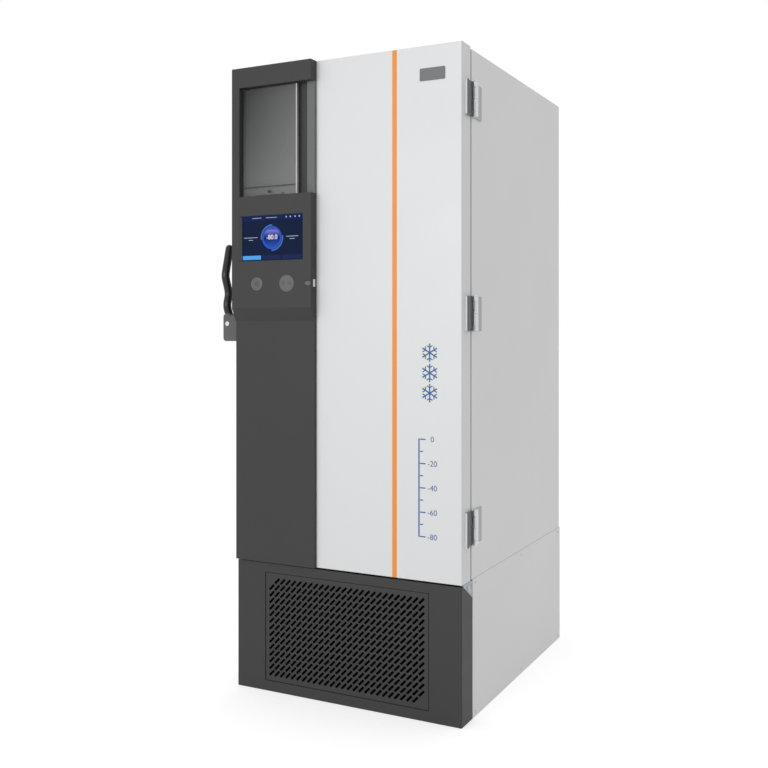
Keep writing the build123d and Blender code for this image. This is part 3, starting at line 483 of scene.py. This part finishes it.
flapClearPaintedReflection = {
    # painted reflection: dark at the top left, pale at the lower right
    "topLeft": screenColour(70, 72, 72),
    "bottomRight": screenColour(152, 154, 152),
    "low": (-0.360, 0.0, 1.572),
    "span": (0.21, 1.0, 0.343),
    "alpha": 0.6,
    "specular": 0.25,
    "rough": (0.09, 0.17),
    "reach": 0.9,
    "haze": {"scale": 14.0},
}


def makeFlapFinishPaintedReflection(look):
    # a smoked plate with a painted reflection: paler towards its lower right corner
    mat = bpy.data.materials.new("smokedClear")
    mat.use_nodes = True
    tree = mat.node_tree
    shader = tree.nodes["Principled BSDF"]
    shader.inputs["Alpha"].default_value = look["alpha"]
    shader.inputs["Specular IOR Level"].default_value = look["specular"]
    coords = tree.nodes.new("ShaderNodeTexCoord")
    place = tree.nodes.new("ShaderNodeMapping")
    place.vector_type = "TEXTURE"
    place.inputs["Location"].default_value = look["low"]
    place.inputs["Scale"].default_value = look["span"]
    parts = tree.nodes.new("ShaderNodeSeparateXYZ")
    tree.links.new(coords.outputs["Object"], place.inputs["Vector"])
    tree.links.new(place.outputs["Vector"], parts.inputs["Vector"])
    slope = tree.nodes.new("ShaderNodeMath")
    slope.operation = "SUBTRACT"
    tree.links.new(parts.outputs["X"], slope.inputs[0])
    tree.links.new(parts.outputs["Z"], slope.inputs[1])
    ramp = tree.nodes.new("ShaderNodeMapRange")
    ramp.inputs["From Min"].default_value = -look["reach"]
    ramp.inputs["From Max"].default_value = look["reach"]
    tree.links.new(slope.outputs[0], ramp.inputs["Value"])
    mix = blendColours(tree, ramp.outputs["Result"], look["topLeft"], look["bottomRight"])
    tree.links.new(mix, shader.inputs["Base Color"])
    haze = pattern(tree, coords, look["haze"])
    tree.links.new(between(tree, haze, *look["rough"]), shader.inputs["Roughness"])
    return mat


finishes = {
    "painted_steel_grey": makeFinish("paintedSteelPale", steelPale),
    "painted_steel_white": makeFinish("paintedSteelWhite", steelWhite),
    "insulation_foam": makeFinish("insulationFoam", insulationFoam),
    "stainless": makeFinish("stainlessSheet", stainlessSheet),
    "white_plastic": makeFinish("whitePlastic", whitePlastic),
    "gasket_rubber": makeFinish("gasketRubber", gasketRubber),
    "column_plastic": makeFinish("columnPlastic", columnPlastic),
    "rail_plastic": makeFinish("railPlastic", railPlastic),
    "control_plastic": makeFinish("controlPlastic", controlPlastic),
    "lever_plastic": makeFinish("leverPlastic", leverPlastic),
    "hinge_chrome": makeFinish("hingeChromePaintedReflections", hingeChromePaintedReflections),
    "pale_plastic": makeFinish("palePlastic", palePlastic),
    "screen_glass": makeFinish("screenGlass", screenGlass),
    "smoked_clear": makeFlapFinishPaintedReflection(flapClearPaintedReflection),
    "zinc_steel": makeFinish("zincSteel", zincSteel),
    "fin_aluminium": makeFinish("finAluminium", finAluminium),
    "black_enamel": makeFinish("blackEnamel", blackEnamel),
    "copper_tube": makeFinish("copperTube", copperTube),
    "filter_pad": makeFinish("filterPad", filterPad),
    "black_plastic": makeFinish("blackPlastic", blackPlastic),
}
orangeInk = makeFinish("stripeOrange", stripeOrange)
blueInk = makeFinish("printBlue", printBlue)
badgeFinish = makeFinish("badgeMetal", badgeMetal)
darkPieces = ("display_bezel", "indicator_lamp")
for name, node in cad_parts.items():
    for place in node.material_slots:
        chosen = "column_plastic" if name in darkPieces else place.material.name.split(".")[0]
        place.material = finishes[chosen]
print("finishes on the carried-over nodes")


# Shared making steps
def finishPiece(name, bm, finish, body, smoothUnder=None):
    bmesh.ops.recalc_face_normals(bm, faces=bm.faces)
    mesh = bpy.data.meshes.new(name)
    bm.to_mesh(mesh)
    bm.free()
    mesh.materials.append(finish)
    if smoothUnder:
        mesh.shade_smooth()
        mesh.set_sharp_from_angle(angle=math.radians(smoothUnder))
    piece = bpy.data.objects.new(name, mesh)
    bpy.context.scene.collection.objects.link(piece)
    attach(piece, body)
    return piece


def onPlane(edge, axis, level):
    return all(abs(v.co[axis] - level) < 1e-6 for v in edge.verts)


def pullBack(bm, faces, depth):
    # gives flat faces their thickness, towards the rear
    made = bmesh.ops.extrude_face_region(bm, geom=faces, use_keep_orig=True)
    moved = [part for part in made["geom"] if isinstance(part, bmesh.types.BMVert)]
    bmesh.ops.translate(bm, verts=moved, vec=(0, depth, 0))


def addPlate(bm, left, right, low, high, front, depth, corner=0.0, segments=5):
    before = set(bm.faces)
    spots = ((left, low), (right, low), (right, high), (left, high))
    corners = [bm.verts.new((x, front, z)) for x, z in spots]
    bm.faces.new(corners)
    if corner:
        bmesh.ops.bevel(bm, geom=corners, offset=corner, offset_type="OFFSET", segments=segments,
                        profile=0.5, affect="VERTICES", material=-1)
    pullBack(bm, [face for face in bm.faces if face not in before], depth)


def addSector(bm, centre, inner, outer, start, sweep, front, depth, steps=48):
    # a flat ring or part of one; angles run clockwise from the top
    before = set(bm.faces)
    turn = Matrix.Rotation(math.radians(start), 3, "Y")
    hub = Vector((centre[0], front, centre[1]))
    near, far = (bm.verts.new(hub + turn @ Vector((0, 0, reach))) for reach in (inner, outer))
    edge = bm.edges.new((near, far))
    whole = abs(sweep) >= 360
    bmesh.ops.spin(bm, geom=[near, far, edge], cent=hub, axis=(0, 1, 0), angle=math.radians(sweep),
                   steps=steps, use_merge=whole, dvec=(0, 0, 0))
    pullBack(bm, [face for face in bm.faces if face not in before], depth)


def addDisc(bm, centre, radius, front, depth, segments=48, squeeze=1.0):
    before = set(bm.faces)
    place = Matrix.Translation((centre[0], front, centre[1])) @ Matrix.Rotation(math.radians(90), 4, "X")
    place = place @ Matrix.Diagonal((1, squeeze, 1, 1))
    bmesh.ops.create_circle(bm, cap_ends=True, radius=radius, segments=segments, matrix=place)
    pullBack(bm, [face for face in bm.faces if face not in before], depth)


def addBar(bm, start, end, width, front, depth):
    # a straight flat bar between two points of the face
    before = set(bm.faces)
    along = Vector((end[0] - start[0], 0, end[1] - start[1]))
    side = along.cross(Vector((0, 1, 0))).normalized() * (width / 2)
    ends = [Vector((p[0], front, p[1])) for p in (start, end)]
    spots = [ends[0] - side, ends[1] - side, ends[1] + side, ends[0] + side]
    bm.faces.new([bm.verts.new(spot) for spot in spots])
    pullBack(bm, [face for face in bm.faces if face not in before], depth)


def addNumber(bm, text, centre, size, front, depth):
    letters = bpy.data.curves.new("number", "FONT")
    letters.body = text
    letters.size = size
    letters.align_x = "CENTER"
    letters.align_y = "CENTER"
    letters.extrude = depth / 2
    holder = bpy.data.objects.new("number", letters)
    bpy.context.scene.collection.objects.link(holder)
    bpy.context.view_layer.update()
    mesh = bpy.data.meshes.new_from_object(holder)
    mesh.transform(Matrix.Rotation(math.radians(90), 4, "X"))
    mesh.transform(Matrix.Translation((centre[0], front + depth / 2, centre[1])))
    bm.from_mesh(mesh)
    bpy.data.objects.remove(holder)
    bpy.data.curves.remove(letters)
    bpy.data.meshes.remove(mesh)


# Door face: stripe, badge plate and blue print
doorLow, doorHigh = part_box("door_skin")
doorFace = doorLow.y
stripe = {"left": 0.167, "width": 0.015, "proud": 0.00025, "inset": 0.0002, "depth": 0.006, "edge": 0.0025}
badge = {"left": 0.2576, "right": 0.3384, "low": 1.8767, "high": 1.9135, "proud": 0.0016, "corner": 0.0025,
         "rim": 0.0022, "step": 0.0005}
snow = {"column": 0.289, "levels": (0.963, 1.022, 1.081), "reach": 0.027, "bar": 0.0042, "twig": 0.0105,
        "twigAt": 0.58, "twigShare": 0.8, "arms": 6, "proud": 0.00015, "step": 0.00002}
scale = {"left": 0.2525, "low": 0.540, "high": 0.829, "line": 0.0042, "ticks": 9,
         "long": 0.019, "short": 0.011, "thick": 0.0034,
         "numbers": ("-80", "-60", "-40", "-20", "0"), "size": 0.0235, "numberX": 0.2975,
         "proud": 0.00015}


def makeStripe():
    bm = bmesh.new()
    front = doorFace - stripe["proud"]
    addPlate(bm, stripe["left"], stripe["left"] + stripe["width"], doorLow.z + stripe["inset"],
             doorHigh.z - stripe["inset"], front, stripe["depth"])
    ends = [e for e in bm.edges if onPlane(e, 1, front) and onPlane(e, 2, e.verts[0].co.z)]
    bmesh.ops.bevel(bm, geom=ends, offset=stripe["edge"], offset_type="OFFSET", segments=5, profile=0.5,
                    affect="EDGES", material=-1)
    finishPiece("doorStripe", bm, orangeInk, "outer_door")


def makeBadge():
    bm = bmesh.new()
    front = doorFace - badge["proud"]
    addPlate(bm, badge["left"], badge["right"], badge["low"], badge["high"], front, badge["proud"],
             badge["corner"])
    face = min(bm.faces, key=lambda f: f.calc_center_median().y)
    bmesh.ops.inset_region(bm, faces=[face], thickness=badge["rim"], depth=0.0)
    bmesh.ops.translate(bm, verts=face.verts[:], vec=(0, badge["step"], 0))
    finishPiece("badgePlate", bm, badgeFinish, "outer_door")


def makeSnowMarks():
    bm = bmesh.new()
    for level in snow["levels"]:
        for arm in range(snow["arms"]):
            front = doorFace - snow["proud"] - snow["step"] * arm
            depth = doorFace - front
            spread = 360 // snow["arms"]
            turn = math.radians(spread * arm)
            out = Vector((math.sin(turn), math.cos(turn)))
            hub = Vector((snow["column"], level))
            addBar(bm, hub, hub + out * snow["reach"], snow["bar"], front, depth)
            for side in (-spread, spread):
                lean = math.radians(spread * arm + side)
                twig = Vector((math.sin(lean), math.cos(lean))) * snow["twig"]
                joint = hub + out * snow["reach"] * snow["twigAt"]
                width = snow["bar"] * snow["twigShare"]
                addBar(bm, joint, joint + twig, width, front + snow["step"] / 2, depth)
    finishPiece("snowMarks", bm, blueInk, "outer_door")


def makeColdScale():
    bm = bmesh.new()
    front = doorFace - scale["proud"]
    right = scale["left"] + scale["line"]
    addPlate(bm, scale["left"], right, scale["low"], scale["high"], front, scale["proud"])
    gap = (scale["high"] - scale["low"] - scale["thick"]) / (scale["ticks"] - 1)
    for tick in range(scale["ticks"]):
        low = scale["low"] + gap * tick
        reach = scale["short"] if tick % 2 else scale["long"]
        high = low + scale["thick"]
        addPlate(bm, right + scale["line"] / 4, right + reach, low, high, front, scale["proud"])
        if tick % 2 == 0:
            middle = (scale["numberX"], low + scale["thick"] / 2)
            addNumber(bm, scale["numbers"][tick // 2], middle, scale["size"], front, scale["proud"])
    finishPiece("coldScale", bm, blueInk, "outer_door")


makeStripe()
makeBadge()
makeSnowMarks()
makeColdScale()
print("door face dressed")


# Screen: what the display shows
glassLow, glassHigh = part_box("display_glass")
glass = {"front": glassLow.y, "width": glassHigh.x - glassLow.x, "height": glassHigh.z - glassLow.z}
display = {
    "layer": 0.0002,
    "headerShare": 0.1,
    "dots": (0.70, 0.765, 0.84, 0.905),
    "dotLevel": 0.95,
    "dotShift": 0.004,
    "dotRadius": 0.0026,
    "headings": (0.165, 0.39),
    "headingLevel": 0.945,
    "headingLength": 0.030,
    "headingHeight": 0.0016,
    "labels": ((0.03, 0.515, 0.052), (0.11, 0.46, 0.016), (0.715, 0.515, 0.044), (0.77, 0.46, 0.018)),
    "labelHeight": 0.0018,
    "dialTones": (
        (0.3, (28, 58, 140)),
        (0.5, (16, 26, 110)),
        (0.68, (70, 76, 160)),
        (0.86, (120, 120, 190)),
    ),
    "dialAt": (0.487, 0.507),
    "dialRadius": 0.0365,
    "ringWidth": 0.0062,
    "arcGap": 0.0012,
    "arcWidth": 0.0042,
    "arcs": ((262, 100), (82, 100)),
    "number": "-80.0",
    "numberSize": 0.0205,
    "numberLift": 0.001,
    "buttons": ((0.012, 0.31), (0.335, 0.63), (0.655, 0.955)),
    "buttonSpan": (0.03, 0.12),
    "buttonCorner": 0.0008,
}


def screenSpot(across, up):
    return glassLow.x + across * glass["width"], glassLow.z + up * glass["height"]


def makeGlow(name, colour):
    look = {
        "colour": darker(colour, 0.05),
        "rough": (0.08, 0.14),
        "broad": {"scale": 40.0},
        "fine": {"scale": 70.0},
        "relief": 0.02,
        "depth": 0.0001,
        "fixed": {"Emission Color": colour, "Emission Strength": 1.0, "Specular IOR Level": 0.06},
    }
    return makeFinish(name, look)


def makeDialGlow():
    # lilac light at the top of the ball, deep blue in the middle, paler blue below
    mat = bpy.data.materials.new("dialGlow")
    mat.use_nodes = True
    tree = mat.node_tree
    shader = tree.nodes["Principled BSDF"]
    shader.inputs["Base Color"].default_value = (0.002, 0.003, 0.01, 1)
    shader.inputs["Roughness"].default_value = 0.1
    shader.inputs["Emission Strength"].default_value = 1.0
    shader.inputs["Specular IOR Level"].default_value = 0.06
    coords = tree.nodes.new("ShaderNodeTexCoord")
    place = tree.nodes.new("ShaderNodeMapping")
    place.vector_type = "TEXTURE"
    inner = display["dialRadius"] - display["ringWidth"]
    middle = screenSpot(*display["dialAt"])
    place.inputs["Location"].default_value = (middle[0], 0, middle[1] - inner)
    place.inputs["Scale"].default_value = (2 * inner, 1, 2 * inner)
    parts = tree.nodes.new("ShaderNodeSeparateXYZ")
    ramp = tree.nodes.new("ShaderNodeValToRGB")
    bands = ramp.color_ramp
    bands.elements[0].position = 0.0
    bands.elements[0].color = screenColour(40, 84, 160)
    bands.elements[1].position = 1.0
    bands.elements[1].color = screenColour(40, 52, 150)
    for spot, colour in display["dialTones"]:
        step = bands.elements.new(spot)
        step.color = screenColour(*colour)
    tree.links.new(coords.outputs["Object"], place.inputs["Vector"])
    tree.links.new(place.outputs["Vector"], parts.inputs["Vector"])
    tree.links.new(parts.outputs["Z"], ramp.inputs["Fac"])
    tree.links.new(ramp.outputs["Color"], shader.inputs["Emission Color"])
    return mat


def screenPiece(name, bm, finish):
    finishPiece(name, bm, finish, "outer_door")


def makeScreen():
    layer = display["layer"]
    front = glass["front"] - layer
    middle = screenSpot(*display["dialAt"])
    ringOuter = display["dialRadius"]
    ringInner = ringOuter - display["ringWidth"]

    bm = bmesh.new()
    left, low = screenSpot(0, 1 - display["headerShare"])
    addPlate(bm, left, glassHigh.x, low, glassHigh.z, front, layer)
    screenPiece("screenHeader", bm, makeGlow("headerGlow", screenColour(20, 34, 84)))

    bm = bmesh.new()
    for across in display["dots"]:
        x, z = screenSpot(across, display["dotLevel"])
        addDisc(bm, (x + display["dotShift"], z), display["dotRadius"], front - layer, layer, segments=20)
    for across in display["headings"]:
        x, z = screenSpot(across, display["headingLevel"])
        reach = display["headingLength"] * (1 + across)
        addPlate(bm, x, x + reach, z, z + display["headingHeight"], front - layer, layer)
    for across, up, reach in display["labels"]:
        x, z = screenSpot(across, up)
        addPlate(bm, x, x + reach, z, z + display["labelHeight"], front, layer)
    screenPiece("screenMarks", bm, makeGlow("markGlow", screenColour(170, 180, 205)))

    bm = bmesh.new()
    addDisc(bm, middle, ringInner, front, layer, segments=64)
    screenPiece("screenDial", bm, makeDialGlow())

    bm = bmesh.new()
    addSector(bm, middle, ringInner, ringOuter, 0, 360, front - layer, 2 * layer, steps=72)
    screenPiece("screenRing", bm, makeGlow("ringGlow", screenColour(42, 82, 198)))

    bm = bmesh.new()
    for start, sweep in display["arcs"]:
        inner = ringOuter + display["arcGap"]
        addSector(bm, middle, inner, inner + display["arcWidth"], start, sweep, front, layer, steps=28)
    screenPiece("screenArcs", bm, makeGlow("arcGlow", screenColour(66, 112, 172)))

    bm = bmesh.new()
    place = (middle[0], middle[1] + display["numberLift"])
    addNumber(bm, display["number"], place, display["numberSize"], front - 2 * layer, 2 * layer)
    screenPiece("screenNumber", bm, makeGlow("numberGlow", screenColour(240, 243, 250)))

    glows = (screenColour(80, 160, 232), screenColour(27, 40, 82), screenColour(27, 40, 82))
    for count, (span, colour) in enumerate(zip(display["buttons"], glows), start=1):
        bm = bmesh.new()
        x0, z0 = screenSpot(span[0], display["buttonSpan"][0])
        x1, z1 = screenSpot(span[1], display["buttonSpan"][1])
        addPlate(bm, x0, x1, z0, z1, front, layer, display["buttonCorner"])
        screenPiece("screenButton%d" % count, bm, makeGlow("buttonGlow%d" % count, colour))


makeScreen()
print("screen drawn")


# Round controls on the console
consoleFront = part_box("console_housing")[0].y
buttonLow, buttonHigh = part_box("power_button")
padLow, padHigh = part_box("reader_pad")
power = {"radius": 0.021, "set": 0.0003, "grooves": (0.0085, 0.0135), "depth": 0.0008, "groove": 0.0022,
         "edge": 0.0006, "ring": (0.0038, 0.0054), "ringTurn": (35, 290), "bar": (0.0012, 0.0066),
         "barHalf": 0.0008, "markDepth": 0.0004}
reader = {"grooves": (0.0222,), "depth": 0.0004, "groove": 0.0010, "edge": 0.0005,
          "rings": (0.006, 0.0105, 0.015), "ringWidth": 0.0011, "ringTurns": (60, 240), "ringSweep": 60,
          "proud": 0.00005, "markDepth": 0.0003}
oval = {"centre": (-0.1062, 1.291), "radius": 0.0100, "squeeze": 0.62, "proud": 0.0005, "segments": 40}


def lathe(bm, profile, centre, steps=64):
    # profile: distance from the axis and place along Y, from the middle outwards
    spots = [bm.verts.new((centre[0] + reach, y, centre[1])) for reach, y in profile]
    edges = [bm.edges.new(pair) for pair in zip(spots, spots[1:])]
    bmesh.ops.spin(bm, geom=spots + edges, cent=(centre[0], 0, centre[1]), axis=(0, 1, 0),
                   angle=math.radians(360), steps=steps, use_merge=True, dvec=(0, 0, 0))
    bmesh.ops.remove_doubles(bm, verts=bm.verts, dist=0.000005)


def grooved(radius, front, back, grooves, depth, width, edge):
    # a round cap whose face carries turned grooves
    profile = [(0.0, front)]
    for reach in grooves:
        half = width / 2
        profile += [(reach - half, front), (reach - half * 0.6, front + depth),
                    (reach + half * 0.6, front + depth), (reach + half, front)]
    profile += [(radius - edge, front), (radius - edge * 0.3, front + edge * 0.3), (radius, front + edge),
                (radius, back), (0.0, back)]
    return profile


def makeControls():
    control = finishes["control_plastic"]
    centre = ((buttonLow.x + buttonHigh.x) / 2, (buttonLow.z + buttonHigh.z) / 2)
    bm = bmesh.new()
    lathe(bm, grooved(power["radius"], buttonLow.y + power["set"], buttonHigh.y, power["grooves"],
                      power["depth"], power["groove"], power["edge"]), centre)
    cap = finishPiece("powerCap", bm, control, "button", smoothUnder=30)
    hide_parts("power_button")

    bm = bmesh.new()
    addSector(bm, centre, *power["ring"], *power["ringTurn"], buttonLow.y, power["markDepth"], steps=30)
    left, right = centre[0] - power["barHalf"], centre[0] + power["barHalf"]
    low, high = (centre[1] + rise for rise in power["bar"])
    addPlate(bm, left, right, low, high, buttonLow.y, power["markDepth"])
    finishPiece("powerMark", bm, finishes["black_plastic"], "button")

    centre = ((padLow.x + padHigh.x) / 2, (padLow.z + padHigh.z) / 2)
    radius = (padHigh.x - padLow.x) / 2
    bm = bmesh.new()
    lathe(bm, grooved(radius, padLow.y, padHigh.y, reader["grooves"], reader["depth"], reader["groove"],
                      reader["edge"]), centre)
    pad = finishPiece("readerCap", bm, control, "outer_door", smoothUnder=30)
    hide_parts("reader_pad")

    bm = bmesh.new()
    front = padLow.y - reader["proud"]
    for reach in reader["rings"]:
        for start in reader["ringTurns"]:
            outer = reach + reader["ringWidth"]
            addSector(bm, centre, reach, outer, start, reader["ringSweep"], front, reader["markDepth"],
                      steps=14)
    finishPiece("readerMark", bm, finishes["column_plastic"], "outer_door")

    bm = bmesh.new()
    addDisc(bm, oval["centre"], oval["radius"], consoleFront - oval["proud"], oval["proud"],
            oval["segments"], oval["squeeze"])
    finishPiece("ovalMark", bm, control, "outer_door")


makeControls()
print("controls dressed")


# Window flap: pale strip painted as the highlight on its right edge, seam and catch; pale wall in the screen
# recess
flapLow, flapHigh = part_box("bay_flap")
flapParts = {"strip": 0.0022, "proud": 0.0003, "seamLow": 1.5985, "seamHigh": 1.6010, "seamInset": 0.0005,
             "catch": (-0.2590, -0.2510, 1.5790, 1.5870), "catchDepth": 0.0010}
recess = {"left": -0.3564, "right": -0.3560, "low": 1.3655, "high": 1.5070, "front": -0.5081, "depth": 0.0085}


def makeFlapParts():
    front = flapLow.y - flapParts["proud"]
    depth = flapParts["proud"] * 2
    strip = flapParts["strip"]
    inset = flapParts["seamInset"]
    bm = bmesh.new()
    # a pale strip on the flap's right edge: a painted highlight of the plate's edge
    addPlate(bm, flapHigh.x - strip, flapHigh.x, flapLow.z, flapHigh.z - strip, front, depth)
    finishPiece("flapEdgeHighlight", bm, finishes["pale_plastic"], "flap")
    bm = bmesh.new()
    addPlate(bm, flapLow.x + inset, flapHigh.x - strip - inset, flapParts["seamLow"], flapParts["seamHigh"],
             front, depth)
    left, right, low, high = flapParts["catch"]
    proud = flapParts["catchDepth"]
    addPlate(bm, left, right, low, high, flapLow.y - proud, proud * 2)
    finishPiece("flapSeam", bm, finishes["column_plastic"], "flap")
    bm = bmesh.new()
    addPlate(bm, recess["left"], recess["right"], recess["low"], recess["high"], recess["front"],
             recess["depth"])
    finishPiece("recessWall", bm, finishes["gasket_rubber"], "outer_door")


makeFlapParts()
print("window flap dressed")


# Slotted grille with rounded slots
grilleLow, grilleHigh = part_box("front_grille")
grille = {"columns": 27, "rows": 15, "pitchX": 0.0201, "pitchZ": 0.0209, "length": 0.0258, "width": 0.0076,
          "turns": 4, "edge": 0.0008}


def slotLoop(bm, centre, front):
    # a lean slot with round ends
    lean = math.atan2(grille["pitchZ"], grille["pitchX"])
    along = Vector((math.cos(lean), 0, math.sin(lean)))
    half = (grille["length"] - grille["width"]) / 2
    spots = []
    for end in (1, -1):
        for turn in range(grille["turns"] + 1):
            angle = lean + math.pi * (turn / grille["turns"] - 0.5) + (0 if end > 0 else math.pi)
            around = Vector((math.cos(angle), 0, math.sin(angle))) * grille["width"] / 2
            spots.append(Vector((centre[0], front, centre[1])) + along * half * end + around)
    loop = [bm.verts.new(spot) for spot in spots]
    return [bm.edges.new((a, b)) for a, b in zip(loop, loop[1:] + loop[:1])]


def frameLoop(bm, left, right, low, high, front):
    loop = [bm.verts.new((x, front, z)) for x, z in ((left, low), (right, low), (right, high), (left, high))]
    return [bm.edges.new((a, b)) for a, b in zip(loop, loop[1:] + loop[:1])]


def makeGrille():
    front = grilleLow.y
    middle = ((grilleLow.x + grilleHigh.x) / 2, (grilleLow.z + grilleHigh.z) / 2)
    halfX, halfZ = grille["pitchX"] / 2, grille["pitchZ"] / 2
    bm = bmesh.new()
    closed = {(0, grille["rows"] - 1), (grille["columns"] - 1, 0)}
    for column in range(grille["columns"]):
        for row in range(grille["rows"]):
            x = middle[0] + (column - (grille["columns"] - 1) / 2) * grille["pitchX"]
            z = middle[1] + (row - (grille["rows"] - 1) / 2) * grille["pitchZ"]
            edges = frameLoop(bm, x - halfX, x + halfX, z - halfZ, z + halfZ, front)
            if (column, row) not in closed:
                edges += slotLoop(bm, (x, z), front)
            bmesh.ops.triangle_fill(bm, use_beauty=True, use_dissolve=False, edges=edges, normal=(0, -1, 0))
    bmesh.ops.remove_doubles(bm, verts=bm.verts, dist=0.00001)
    fieldX = grille["columns"] * halfX
    fieldZ = grille["rows"] * halfZ
    rim = [e for e in bm.edges if e.is_boundary and all(
        abs(abs(v.co.x - middle[0]) - fieldX) < 0.0001 or abs(abs(v.co.z - middle[1]) - fieldZ) < 0.0001
        for v in e.verts)]
    rim += frameLoop(bm, grilleLow.x, grilleHigh.x, grilleLow.z, grilleHigh.z, front)
    bmesh.ops.triangle_fill(bm, use_beauty=True, use_dissolve=False, edges=rim, normal=(0, -1, 0))
    pullBack(bm, bm.faces[:], grilleHigh.y - grilleLow.y)
    bmesh.ops.recalc_face_normals(bm, faces=bm.faces)
    sides = ((0, grilleLow.x), (0, grilleHigh.x), (2, grilleLow.z), (2, grilleHigh.z))
    outer = [e for e in bm.edges if onPlane(e, 1, front) and any(onPlane(e, *side) for side in sides)]
    bmesh.ops.bevel(bm, geom=outer, offset=grille["edge"], offset_type="OFFSET", segments=3, profile=0.5,
                    affect="EDGES", material=-1)
    piece = finishPiece("grilleFace", bm, finishes["column_plastic"], "grille")
    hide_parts("front_grille")


makeGrille()
print("grille cut")
